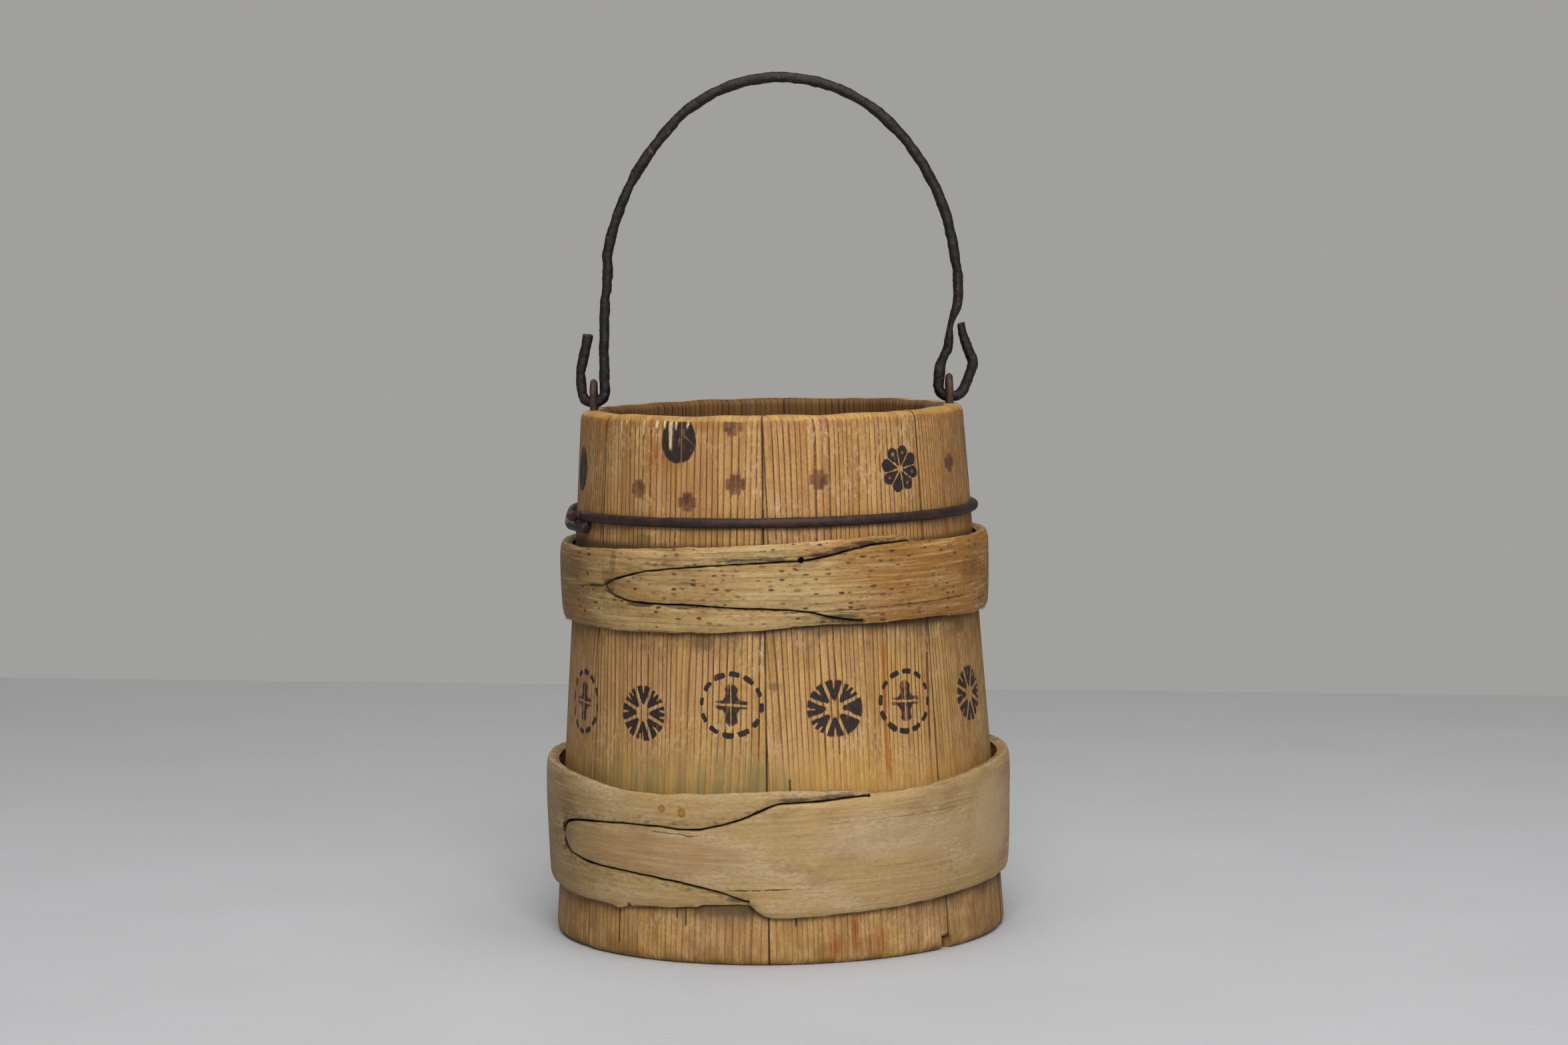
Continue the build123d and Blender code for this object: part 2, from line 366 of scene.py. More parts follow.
def dark_rosette(f, u, v, radius):
    """A deeply burnt shield of which only an upright gap and a slanting one stayed bare."""
    away, _ = polar(f, u * 1.15, (0 - v).most(v * 0.85))
    upright = f.fall(abs(u - 0.17 * radius), 0.15, 0.6)
    slant = f.fall(abs(v + 0.8 * u - 0.47 * radius), 0.2, 0.8) * f.rise(u, 0.12 * radius, 0.3 * radius)
    streaks = f.rise(f.clouds(u * 1.1, v * 0.12, radius, detail=2.0), 0.52, 0.66)
    bare = upright.most(slant * 0.8).most(streaks * 0.5)
    return f.fall(away, radius * 0.9, radius * 1.03) * (1 - 0.62 * bare)


def small_flower(f, u, v, radius):
    """Four small squarish petals, faintly burnt."""
    longest, shortest = abs(u).most(abs(v)), f.math("MINIMUM", abs(u), abs(v))
    petals = f.fall(longest, 0.7 * radius, 1.15 * radius) * f.fall(shortest, 0.3 * radius, 0.7 * radius)
    return petals * 0.5


# The burnt marks: kind, azimuth in degrees, height and radius in millimetres. The marks behind the sides
# carry the bands on.
MARKS = [
    (dashed_cross, -64.5, 91.6, 12.4), (wedge_rosette, -37.8, 90.7, 10.5),
    (dashed_cross, -11.9, 94.9, 12.5), (wedge_rosette, 15.3, 92.9, 10.8),
    (dashed_cross, 36.3, 93.6, 12.3), (wedge_rosette, 64.8, 92.1, 10.4),
    (dashed_cross, 92.0, 93.0, 12.4), (wedge_rosette, 119.5, 92.0, 10.6),
    (dashed_cross, 141.0, 93.4, 12.3), (wedge_rosette, 164.8, 92.2, 10.5),
    (dashed_cross, -167.0, 92.6, 12.4), (wedge_rosette, -140.5, 93.0, 10.6),
    (dashed_cross, -116.0, 92.0, 12.3), (wedge_rosette, -91.0, 91.4, 10.5),
    (dark_rosette, -27.8, 190.6, 8.4), (petal_rosette, 39.2, 178.7, 8.9),
    (dark_rosette, -74.9, 177.5, 7.9), (dark_rosette, 96.0, 180.0, 8.2),
    (petal_rosette, 135.0, 178.5, 8.8), (dark_rosette, 165.0, 181.0, 8.2),
    (petal_rosette, -160.0, 179.0, 8.8), (dark_rosette, -118.0, 180.5, 8.0),
    (small_flower, -41.4, 172.7, 3.8), (small_flower, -24.7, 168.4, 3.9),
    (small_flower, -10.5, 175.1, 4.0), (small_flower, 13.0, 176.2, 3.9),
    (small_flower, 62.8, 179.2, 3.9), (small_flower, -11.2, 196.0, 3.9),
    (small_flower, 84.0, 172.0, 3.8), (small_flower, 110.0, 174.0, 3.9),
    (small_flower, 148.0, 171.0, 3.8), (small_flower, -178.0, 175.0, 3.9),
    (small_flower, -140.0, 172.0, 3.8), (small_flower, -98.0, 175.0, 3.9),
]

# Pale splinters broken out of the rim's front edge: azimuth, length and half width.
SPLINTERS = [
    (-49.2, 6.0, 0.4), (-47.0, 2.4, 0.4), (-40.0, 6.0, 0.5), (-35.1, 3.6, 1.0), (-32.4, 3.4, 0.6),
    (-30.3, 11.0, 0.95), (-28.6, 3.8, 0.55), (-24.7, 3.2, 0.6), (118.0, 4.0, 0.6), (-150.0, 3.4, 0.6),
    (-96.0, 3.0, 0.5),
]

# Short dark cracks: azimuth, lowest and highest level, half width.
NICKS = [
    (-23.9, 13.7, 20.5, 0.55), (-26.2, 16.6, 20.5, 0.4), (3.9, 14.3, 18.0, 0.6),
    (3.05, 63.0, 67.4, 0.6), (-44.0, 5.0, 20.0, 0.5), (101.0, 60.0, 74.0, 0.4),
    (-128.0, 14.0, 22.0, 0.5),
]

# Smudges on the staves: azimuth, level, half width, half height.
SMUDGES = [
    (-0.4, 101.7, 3.0, 2.0), (-20.0, 118.0, 7.0, 3.5), (62.0, 118.0, 5.0, 3.0),
    (-40.0, 154.0, 6.0, 3.0), (150.0, 104.0, 5.0, 3.0), (-100.0, 108.0, 4.0, 3.0),
    (-16.0, 20.0, 10.0, 2.4), (-11.0, 20.4, 8.0, 3.0),
]

# Orange-brown runs on the staves: azimuth, lowest and highest level, half width, strength.
STAINS = [
    (30.0, 66.0, 118.0, 1.5, 0.85), (18.5, 6.0, 19.0, 1.6, 0.95), (13.0, 4.0, 13.0, 4.0, 0.8),
    (24.0, 4.0, 12.0, 5.0, 0.8), (17.0, 3.0, 8.0, 12.0, 0.5), (-32.0, 182.0, 190.0, 10.0, 0.5),
    (58.0, 150.0, 175.0, 1.4, 0.6), (-33.0, 180.0, 187.0, 12.0, 0.45), (12.0, 176.0, 186.0, 1.6, 0.5),
    (128.0, 70.0, 116.0, 2.0, 0.6), (-150.0, 70.0, 110.0, 2.2, 0.5), (-105.0, 1.0, 16.0, 6.0, 0.5),
]

# The width of each stave's growth rings.
RING_WIDTHS = [2.1, 1.5, 2.2, 1.9, 2.6, 2.1, 2.4, 1.8, 2.3]


def stave_finish(number, start, end):
    """Pine with vertical growth rings, its burnt marks, stains, dirt and worn rim, for one stave, with
    painted shade on its sides, on its inner face and round the hoops.
    """
    f = Finish(f"pine_stave_{number}")
    middle, half = (start + end) / 2, (end - start) / 2
    x, y, z = f.place()
    across = x * math.cos(middle) + y * math.sin(middle)
    outward = x * math.sin(middle) - y * math.cos(middle)
    away = (across * across + outward * outward) ** 0.5
    turn = f.math("ARCTAN2", across, outward)
    depth = (z * TAPER + FOOT_RADIUS / MM) - away
    seed = number * 17.3

    # Growth rings run up the stave, a little wavy and unevenly wide.
    sway = f.clouds(across * 0.03, seed, z * 0.006) * 5 + f.clouds(across * 0.2, z * 0.025, seed) * 0.6
    rings = across + depth * 0.3 + sway + f.clouds(across * 0.12, seed) * 5
    rings = rings / RING_WIDTHS[number - 1] + seed
    ring = rings.floor()
    grown = rings - ring
    own, other = f.chance(ring), f.chance(ring + 0.4)
    fade = f.clouds(across * 0.09, seed, z * 0.02, detail=3.0)
    late = f.band(grown, 0.66, 0.84, 0.93, 1.0) * (0.6 + 0.55 * own) * (0.55 + 1.1 * fade)
    late = late * (1 - 0.5 * f.fall(z + (fade - 0.5) * 40, 60.0, 96.0))
    halo = f.band(grown, 0.05, 0.9, 0.94, 1.0) * (0.2 + 0.8 * other)
    fibre = f.clouds(across * 3.0, depth * 3.0, z * 0.07, detail=3.0, roughness=0.6)
    grain = f.clouds(across * 2.6, depth * 2.6, z * 0.9, detail=3.0, roughness=0.65)
    streak = f.clouds(across * 0.5, depth * 0.4 + seed, z * 0.02, detail=3.0, roughness=0.6)
    patch = f.clouds(across * 0.04 + seed, depth * 0.05, z * 0.025, detail=4.0, roughness=0.6)
    mottle = f.clouds(across * 0.3, seed, z * 0.16, detail=5.0, roughness=0.68)

    high = f.rise(z + (patch - 0.5) * 60, 120.0, 200.0)
    colour = f.over(
        tint(184, 144, 74),
        (f.rise(patch, 0.38, 0.6), tint(182, 140, 92)),
        (high * 0.75, tint(172, 118, 60)),
        (other * 0.52, tint(208, 170, 106)),
        (f.rise(streak, 0.44, 0.72) * 0.55, tint(146, 98, 48)),
        (halo * 0.35, tint(146, 92, 48)),
        (late * 0.95, tint(92, 50, 27)),
        (f.rise(fibre, 0.5, 0.82) * 0.45, tint(112, 74, 42)),
        (f.rise(grain, 0.5, 0.72) * 0.42, tint(116, 76, 38)),
        (f.rise(grain, 0.47, 0.28) * 0.34, tint(216, 182, 120)),
        (f.rise(mottle, 0.48, 0.7) * 0.4, tint(134, 86, 42)))
    scuff = f.rise(f.clouds(across * 0.8, seed, z * 0.34, detail=4.0, roughness=0.72), 0.48, 0.66)
    scuff = scuff * f.rise(f.clouds(across * 0.045, z * 0.035, seed + 4), 0.45, 0.6)
    colour = f.blend(scuff * 0.55, colour, tint(206, 178, 138))
    speck = f.rise(f.clouds(across * 1.3, z * 0.7, seed + 12, detail=2.0), 0.7, 0.78)
    colour = f.blend(speck * 0.55, colour, tint(86, 56, 32))

    # Dirt above the hoops, under the wire and at the foot; below the hoops grime with painted shadow, and
    # behind them painted shade.
    grime = f.clouds(across * 0.12, seed, z * 0.1, detail=4.0, roughness=0.6)
    around = turn + half_turn(middle)
    above_hoop = f.fall(z + (grime - 0.5) * 26, 63.0, 82.0) * f.rise(z, 50.0, 60.0)
    at_left = f.fall(abs(around + 0.55), 0.5, 0.8)
    greenish = above_hoop * (0.25 + 0.5 * f.rise(streak, 0.35, 0.6)) * at_left
    colour = f.blend(above_hoop * 0.4, colour, tint(192, 144, 70))
    colour = f.blend(greenish, colour, tint(120, 112, 70))
    at_foot = f.fall(z, 0.0, 20.0) * f.rise(grime, 0.3, 0.7)
    colour = f.blend(at_foot * 0.8, colour, tint(120, 86, 36))
    # Below the hoops the staves darken: grime mixed with a painted shadow of the hoops.
    dirt_and_shadow_under_hoop = f.band(z, 104.0, 122.0, 140.0, 150.0) + f.band(z, 10.0, 19.0, 40.0, 50.0)
    colour = f.blend(dirt_and_shadow_under_hoop * f.rise(grime, 0.36, 0.66) * 0.55, colour, tint(98, 72, 44))
    # Painted shade: the staves behind the hoops, seen through slits and gaps, are painted nearly black.
    ragged = z + (grime - 0.5) * 3
    painted_shade_behind_hoops = f.rise(ragged, 118.0, 123.5) * f.fall(z, 151.0, 154.5)
    painted_shade_behind_hoops = painted_shade_behind_hoops + f.rise(ragged, 16.0, 22.5) * f.fall(z, 59.0, 62.5)
    colour = f.blend(painted_shade_behind_hoops * 0.85, colour, tint(52, 40, 26))
    under_wire = f.band(z, 153.0, 159.0, 160.0, 166.0) * f.rise(grime, 0.36, 0.66)
    colour = f.blend(under_wire * 0.5, colour, tint(104, 78, 46))

    def from_middle(place):
        """How far round from the stave's middle an azimuth in degrees lies."""
        return half_turn(math.radians(place) - middle)

    def on_stave(rows):
        """The rows whose azimuth, their first value, is on this stave."""
        return [row for row in rows if abs(from_middle(row[0])) < half]

    def sideways(place, level):
        """The millimetres across from an azimuth, at a height in millimetres."""
        return (turn - from_middle(place)) * (wall_radius(level * MM) / MM)

    for place, low, top, wide, strength in on_stave(STAINS):
        u = sideways(place, 0.5 * (low + top))
        run = f.fall(abs(u + (grime - 0.5) * wide), wide * 0.3, wide * 1.1)
        run = run * f.rise(z + (streak - 0.5) * 8, low - 3, low + 4)
        run = run * f.fall(z + (streak - 0.5) * 20, top - 6, top + 3)
        run = run * strength * f.rise(streak, 0.3, 0.48)
        orange = f.blend(f.rise(fibre, 0.4, 0.6), tint(164, 94, 28), tint(126, 62, 18))
        colour = f.blend(run, colour, orange)
    for place, low, top, wide in on_stave(NICKS):
        nick = f.fall(abs(sideways(place, low)) + (grain - 0.5) * 0.6, wide * 0.5, wide)
        nick = nick * f.band(z, low - 0.5, low + 0.8, top, top + 1)
        colour = f.blend(nick * 0.85, colour, tint(46, 34, 22))
    for place, level, wide, tall in on_stave(SMUDGES):
        u = sideways(place, level) / wide
        blot = f.fall(u * u + ((z - level) / tall) ** 2 + (mottle - 0.5) * 3, 0.2, 1.1)
        colour = f.blend(blot * 0.6, colour, tint(96, 74, 46))

    # Painted shade: the staves darken towards the sides, which turn away from the light.
    from_front = abs(around)
    painted_side_shade = f.band(from_front, 0.6, 1.25, 1.5, 2.2) * 0.45
    colour = f.blend(painted_side_shade * f.rise(mottle, 0.25, 0.6), colour, tint(112, 78, 36))

    # The rim is worn round and smooth, with pale splinters broken out of its front edge.
    sagging = (f.clouds(turn * 7, seed, detail=3.0) - 0.5) * 2.6 - 3.4 * f.rise(depth, 5.5, 8.0)
    worn = f.rise(z + sagging, RIM / MM - 2.2, RIM / MM - 1.7)
    below = f.rise(z + sagging, RIM / MM - 6.5, RIM / MM - 2.6) * (1 - worn)
    colour = f.blend(below * f.rise(mottle, 0.3, 0.6) * 0.5, colour, tint(142, 86, 42))
    handled = f.blend(f.rise(mottle, 0.35, 0.65), tint(184, 145, 72), tint(160, 117, 56))
    colour = f.blend(worn * 0.9, colour, f.blend(late * 0.4, handled, tint(128, 86, 44)))
    # Painted shade: the inner face is darkened as if in the wall's shadow.
    inside = f.rise(depth, 5.0, 7.5) * (1 - worn)
    painted_inside_shade = f.blend(late.most(own * 0.6), tint(108, 73, 30), tint(62, 40, 16))
    colour = f.blend(inside * 0.92, colour, painted_inside_shade)

    marks = None
    for kind, place, level, radius in MARKS:
        if abs(from_middle(place)) < half + 1.15 * radius * MM / wall_radius(level * MM):
            u, v = sideways(place, level) + (grain - 0.5) * 0.7, z - level + (mottle - 0.5) * 1.6
            mark = kind(f, u, v, radius)
            marks = mark if marks is None else marks.most(mark)
    burnt = 0.0
    if marks is not None:
        burnt = marks * f.fall(depth, 2.5, 4.5) * (1 - worn) * (0.72 + 0.5 * f.rise(mottle, 0.32, 0.58))
        burnt = burnt * (0.8 + 0.35 * f.rise(streak, 0.3, 0.6)) - 0.22 * f.rise(fibre, 0.55, 0.75)
        colour = f.blend(f.rise(burnt, 0.02, 0.5) * 0.85, colour, tint(106, 62, 40))
        char = f.blend(f.rise(grain, 0.4, 0.65), tint(31, 24, 24), tint(56, 41, 34))
        colour = f.blend(f.rise(burnt, 0.46, 0.84), colour, char)
    splinter = 0.0
    for place, length, wide in on_stave(SPLINTERS):
        u = sideways(place, RIM / MM) + (f.clouds(z * 0.4, place) - 0.5) * 0.6
        down = RIM / MM - 1.9 - z
        ragged = abs(u) + (fibre - 0.5) * 1.3 + wide * 0.4 * down / length
        sliver = f.fall(ragged, wide * 0.6, wide + 0.25) * f.rise(down, -0.6, 0.6)
        sliver = sliver * f.fall(down + (fibre - 0.5) * 2, length - 1.6, length)
        splinter = splinter + sliver * f.fall(depth, 1.5, 3.0)
    if isinstance(splinter, Paint):
        fresh = f.blend(f.rise(fibre, 0.4, 0.6), tint(214, 178, 116), tint(242, 224, 180))
        colour = f.blend(splinter * 0.85, colour, fresh)

    edge = (half - abs(turn)) * away
    seam = f.fall(edge, 0.12, 0.5) * f.rise(f.clouds(seed, z * 0.12, turn * 9), 0.15, 0.45)
    colour = f.blend(seam * 0.85, colour, tint(46, 33, 22))

    roughness = 0.6 + 0.12 * fibre + 0.08 * grime - 0.12 * worn
    uneven = 0.05 * late + 0.07 * (fibre - 0.5) + 0.07 * (grain - 0.5)
    height = uneven * (1 - worn) + 0.09 * (mottle - 0.5) - 0.2 * burnt - 0.25 * splinter
    return f.coat(colour, roughness, height, **{"Specular IOR Level": 0.35})


# Staves


RIM_ROUND, FOOT_ROUND = 2.6 * MM, 3.0 * MM
CROZE_LOW, CROZE_HIGH, CROZE_DEPTH = 13.7 * MM, 18.3 * MM, 4.0 * MM

# The heights, in millimetres, at which the wall's outer and inner face have a ring of points.
OUTSIDE_LEVELS = [
    *range(4, 12), 13.5, 15, 17, 19.5, *range(22, 180, 3), *range(180, 188), *np.arange(188, 197.1, 0.5)]
INSIDE_LEVELS = [195, 190, *range(180, 30, -10), 26]

# The columns of a stave: how far apart they are, how much closer at the seams, and when one is on a seam.
COLUMN_PACE, CROWDING, ON_SEAM = 1.5 * MM, 0.8, 1e-4

# How deep a stave's face, seam, rim and foot are worn, and over which width or height.
FACE_SWELL, STAVE_STEP, SEAM_ROUND, SEAM_DIP = 0.22 * MM, 0.16 * MM, 0.45 * MM, 1.2 * MM
RIM_WEAR, CHIP_BAND, CHIP_DEPTH = 14 * MM, (9 * MM, 2 * MM), 0.9 * MM
FOOT_WEAR, FOOT_DEPTH = 9 * MM, 0.5 * MM

# A corner broken off a stave's foot: at which seam, how wide and how tall. All are as deep and as sharp.
FOOT_CHIPS = {1: ("end", 3.8 * MM, 5.2 * MM), 2: ("start", 1.6 * MM, 4.4 * MM)}
FOOT_CHIP_DEPTH, FOOT_CHIP_SLOPE = 5 * MM, 0.8 * MM


def quarter(radius, level, size, first, last, count):
    """Points on a rounded edge of the wall's section, between two angles in degrees."""
    angles = [math.radians(first + (last - first) * number / (count - 1)) for number in range(count)]
    return [(radius + size * math.cos(angle), level + size * math.sin(angle)) for angle in angles]


def wall_section():
    """The wall's section as (radius, height), from its inner foot outwards, up, over the rim and down."""
    def inner(level):
        return wall_radius(level) - WALL

    section = [(inner(0.0), 0.0)]
    section += quarter(wall_radius(FOOT_ROUND) - FOOT_ROUND, FOOT_ROUND, FOOT_ROUND, -90, -8, 8)
    section += [(wall_radius(level * MM), level * MM) for level in OUTSIDE_LEVELS]
    section += quarter(wall_radius(RIM) - RIM_ROUND, RIM - RIM_ROUND, RIM_ROUND, 8, 90, 9)
    section += quarter(inner(RIM) + RIM_ROUND, RIM - RIM_ROUND, RIM_ROUND, 90, 172, 8)
    section += [(inner(level * MM), level * MM) for level in INSIDE_LEVELS]
    section += [(inner(CROZE_HIGH), CROZE_HIGH), (inner(CROZE_HIGH) + CROZE_DEPTH, CROZE_HIGH)]
    section += [(inner(CROZE_LOW) + CROZE_DEPTH, CROZE_LOW), (inner(CROZE_LOW), CROZE_LOW)]
    return section


def stave(number):
    """A stave: the wall's section spun through its arc, closed at both seams and worn."""
    start, end = stave_arc(STAVES[number - 1])
    section = wall_section()
    bpy.ops.object.select_all(action="DESELECT")
    bpy.ops.mesh.primitive_circle_add(vertices=len(section), radius=RIM)
    obj = new_piece(f"pine_stave_{number}")
    for vertex, (radius, level) in zip(obj.data.vertices, section):
        vertex.co = spot(start, radius, level)
    edit(obj)
    bpy.ops.mesh.select_all(action="SELECT")
    columns = math.ceil((end - start) * FOOT_RADIUS / COLUMN_PACE)
    bpy.ops.mesh.spin(steps=columns, angle=start - end, center=(0, 0, 0), axis=(0, 0, 1))
    for side in (start, end):
        choose(obj, lambda place: abs(half_turn(azimuth(place) - side)) < ON_SEAM)
        bpy.ops.mesh.edge_face_add()
    close_edit()

    width, seed = end - start, 3.7 * number

    def crowd(place):
        """Draws the columns together at the seams, where the edges are rounded."""
        share = half_turn(azimuth(place) - start) / width
        share -= CROWDING * math.sin(2 * math.pi * share) / (2 * math.pi)
        return spot(start + share * width, reach(place), place.z)

    def wear(place):
        """Swells the faces, rounds the seams and wears the rim and the foot."""
        turn, radius, level = azimuth(place), reach(place), place.z
        from_start = half_turn(turn - start)
        edge = min(from_start, width - from_start) * radius
        outer = step(radius, wall_radius(level) - 0.7 * WALL, wall_radius(level) - 0.3 * WALL)
        facing = 2 * outer - 1
        radius += facing * FACE_SWELL * wave(from_start * 3, level * 14, seed)
        radius += outer * STAVE_STEP * math.sin(number * 5.3)
        radius -= facing * (0.2 + 0.15 * wave(level * 90, seed, 5)) * MM * bell(edge, SEAM_ROUND)
        high = step(level, RIM - RIM_WEAR, RIM)
        level -= high * (0.45 + 0.55 * wave(from_start * 5, seed, 1)) * MM
        level -= high * 0.15 * MM * bell(edge, SEAM_DIP)
        chips = max(0.0, wave(turn * 45, seed, level * 40) - 0.15)
        radius -= outer * step(level, RIM - CHIP_BAND[0], RIM - CHIP_BAND[1]) * CHIP_DEPTH * chips
        low = step(level, FOOT_WEAR, 0.0)
        radius -= outer * low * FOOT_DEPTH * max(0.0, wave(turn * 20, level * 120, seed))
        if number in FOOT_CHIPS:
            side, wide, tall = FOOT_CHIPS[number]
            aside = (width - from_start if side == "end" else from_start) * radius
            broken = step(aside, wide, wide - FOOT_CHIP_SLOPE) * step(level, tall, tall - FOOT_CHIP_SLOPE)
            radius -= outer * FOOT_CHIP_DEPTH * broken
        return spot(turn, radius, level)

    reshape(obj, crowd)
    reshape(obj, wear)
    smooth(obj, 50)
    dress(obj, stave_finish(number, start, end), "pail", "stave_wood", STAVES[number - 1])


# Bottom board


# How near a corner of the board is to count as level or flush, and the size of its softened edges.
FLUSH, BOARD_BEVEL = 0.1 * MM, 0.4 * MM


def board_finish():
    """Plain pine, grey with use, of two planks."""
    f = Finish("bottom_board_wood")
    x, y, z = f.place()
    rings = (x + f.clouds(x * 0.04, y * 0.006) * 9) / 3.1
    late = f.band(rings - rings.floor(), 0.6, 0.92, 0.94, 1.0)
    fibre = f.clouds(x * 2.4, y * 0.07, z, detail=3.0, roughness=0.6)
    grime = f.clouds(x * 0.06, y * 0.05, z * 0.05, detail=5.0, roughness=0.6)
    colour = f.blend(f.rise(grime, 0.35, 0.65), tint(150, 112, 64), tint(108, 78, 44))
    colour = f.blend(late * 0.7, colour, tint(82, 54, 30))
    colour = f.blend(f.rise(fibre, 0.5, 0.8) * 0.5, colour, tint(84, 58, 34))
    joint = f.fall(abs(x - 9.0), 0.15, 0.5)
    colour = f.blend(joint * 0.9, colour, tint(30, 22, 15))
    return f.coat(colour, 0.62 + 0.2 * fibre, 0.1 * (fibre - 0.5) + 0.06 * late - 0.4 * joint)


def bottom_board():
    """A round board: its edge sits in the staves' groove, its upper side slopes in to a flat middle."""
    corners = points("bottom_board")
    low, high = min(p.z for p in corners), max(p.z for p in corners)
    edge = max(map(reach, corners))
    ledge = max(p.z for p in corners if reach(p) > edge - FLUSH)
    shoulder = max(reach(p) for p in corners if abs(p.z - ledge) < FLUSH and reach(p) < edge - MM)
    crown = max(reach(p) for p in corners if p.z > high - FLUSH)
    bpy.ops.object.select_all(action="DESELECT")
    bpy.ops.mesh.primitive_cylinder_add(vertices=128, radius=edge, depth=ledge - low)
    obj = new_piece("pine_bottom_board")
    edit(obj)
    bpy.ops.mesh.select_all(action="SELECT")
    bpy.ops.transform.translate(value=(0, 0, (low + ledge) / 2))
    choose(obj, lambda place: place.z > ledge - FLUSH)
    bpy.ops.mesh.extrude_region_move()
    bpy.ops.transform.resize(value=(shoulder / edge, shoulder / edge, 1), center_override=(0, 0, ledge))
    bpy.ops.mesh.extrude_region_move(TRANSFORM_OT_translate={"value": (0, 0, high - ledge)})
    bpy.ops.transform.resize(value=(crown / shoulder, crown / shoulder, 1), center_override=(0, 0, high))
    close_edit()
    apply(obj, "BEVEL", width=BOARD_BEVEL, segments=2, limit_method="ANGLE", angle_limit=math.radians(25))
    smooth(obj, 40)
    dress(obj, board_finish(), "pail", "board_wood", "bottom_board")


# Hoops


# The rows of a hoop's grid, as (band, share of the band's height). The bands are the lower prong, the
# tongue and the upper prong, and a slit lies between two bands.
PRONG_SHARES = [0, 0.035, 0.11, 0.28, 0.5, 0.72, 0.89, 0.965, 1]
TONGUE_SHARES = [0, 0.05, 0.14, 0.28, 0.5, 0.72, 0.86, 0.95, 1]
LOW_PRONG, TONGUE, HIGH_PRONG = range(3)
BAND_SHARES = [PRONG_SHARES, TONGUE_SHARES, PRONG_SHARES]
HOOP_ROWS = [(band, share) for band, shares in enumerate(BAND_SHARES) for share in shares]
LOW_SLIT, HIGH_SLIT = len(PRONG_SHARES) - 1, len(PRONG_SHARES) + len(TONGUE_SHARES) - 1

# In degrees: how far the slits run past the lap, the pace and softness of its lines, the pace of the
# columns at the lap's ends, in the lap and elsewhere, and how far these stretches reach.
SLIT_END, LINE_PACE, LINE_BLUR = 0.25, 0.1, 0.3
END_PACE, LAP_PACE, PLAIN_PACE = 0.35, 0.8, 3.0
NEAR_END, BEFORE_LAP, AFTER_LAP = 3, 8, 6

# A hoop's section: its bulge, the wear of its edges and the strip in which their radius is measured, the
# groove along the slits, the slits' wandering, and the millimetres that count as clear of a slit.
BULGE, EDGE_WEAR, LOW_EDGE, HIGH_EDGE, EDGE_STRIP = 0.5 * MM, 0.8 * MM, 1.2 * MM, 1.4 * MM, 2 * MM
GROOVE_DEPTH, GROOVE_WIDTH, SLIT_SHARE, SLIT_WANDER = 0.85 * MM, 1.7 * MM, 0.6, 0.3 * MM
CLEAR_OF_SLIT = 3.0

# The hollow before the tongue's tip (depth, length and height), the length over which the tongue rises
# out of it, and where a prong starts and stops sinking, in degrees before its end.
HOLLOW_DEPTH, HOLLOW_LENGTH, HOLLOW_HEIGHT, TONGUE_RISE = 0.9 * MM, 3.5 * MM, 6 * MM, 9 * MM
SINK_START, SINK_FULL = 45, 5

# The unevenness of the strip and of its edges, and the room that is left between a hoop and the staves.
STRIP_SWELL, NIBBLE_DEPTH, NIBBLE_BAND, STAVE_ROOM = 0.25 * MM, 0.35 * MM, 1.5 * MM, 0.3 * MM

# The laps: the azimuths of the tongue's tip and of the prongs' ends, how far the tip and each prong sink,
# lumps on the lower edge (azimuth, half width and height), and lines of (azimuth in degrees, height in
# millimetres). Outside its lap a slit's line is only a row. A slit's half width is in millimetres too.
UPPER_LAP = {
    "node": "upper_hoop", "tip": -50.5, "low_end": 23.0, "high_end": 37.5,
    "tongue_sink": 1.1, "prong_sinks": {LOW_PRONG: 1.2, HIGH_PRONG: 0.5}, "lumps": [],
    "top": [
        (-180, 151.5), (-90, 150), (-67, 150), (-51, 150.9), (-18, 152.7), (-2, 153.6), (9, 154.3),
        (24.6, 155), (32.3, 155.3), (36, 154.5), (37.5, 153.9), (38.2, 152.9), (41, 152.2),
        (63, 152.1), (100, 152),
    ],
    "bottom": [
        (-180, 122), (-70, 120.7), (-40, 120.6), (-15, 121.2), (-3.6, 122), (4.9, 123.2),
        (12.4, 123.6), (22, 123.4), (33, 123.6), (48, 123.6), (62, 122.3), (100, 122),
    ],
    "high_slit": [
        (-180, 142), (-80, 141), (-60, 138.6), (-51, 137.5), (-50.5, 137.5), (-47, 139.4),
        (-42.6, 141), (-35.2, 143.4), (-26.4, 144.9), (-18.3, 145.8), (-3.2, 147), (7, 147.4),
        (14.6, 149.1), (20.5, 151), (26.6, 152.3), (33, 152.8), (37.5, 153.1), (38, 152.2), (48, 148),
        (75, 143), (120, 142),
    ],
    "low_slit": [
        (-180, 131), (-80, 132), (-60, 135.4), (-51, 136.4), (-50.5, 136.4), (-46.7, 133.7),
        (-41.8, 132), (-35.4, 131.5), (-22.5, 131.4), (-7.1, 130.2), (3.2, 129.6), (8.7, 128.5),
        (14.3, 126.5), (19.4, 125.1), (23, 124.5), (23.5, 124.9), (32, 127.5), (60, 131), (120, 131),
    ],
    "slit": [
        (-80, 0.1), (-51, 0.14), (-46, 0.2), (-36, 0.1), (-12, 0.06), (8, 0.08), (18, 0.12),
        (28, 0.15), (36, 0.1), (80, 0.1),
    ],
}
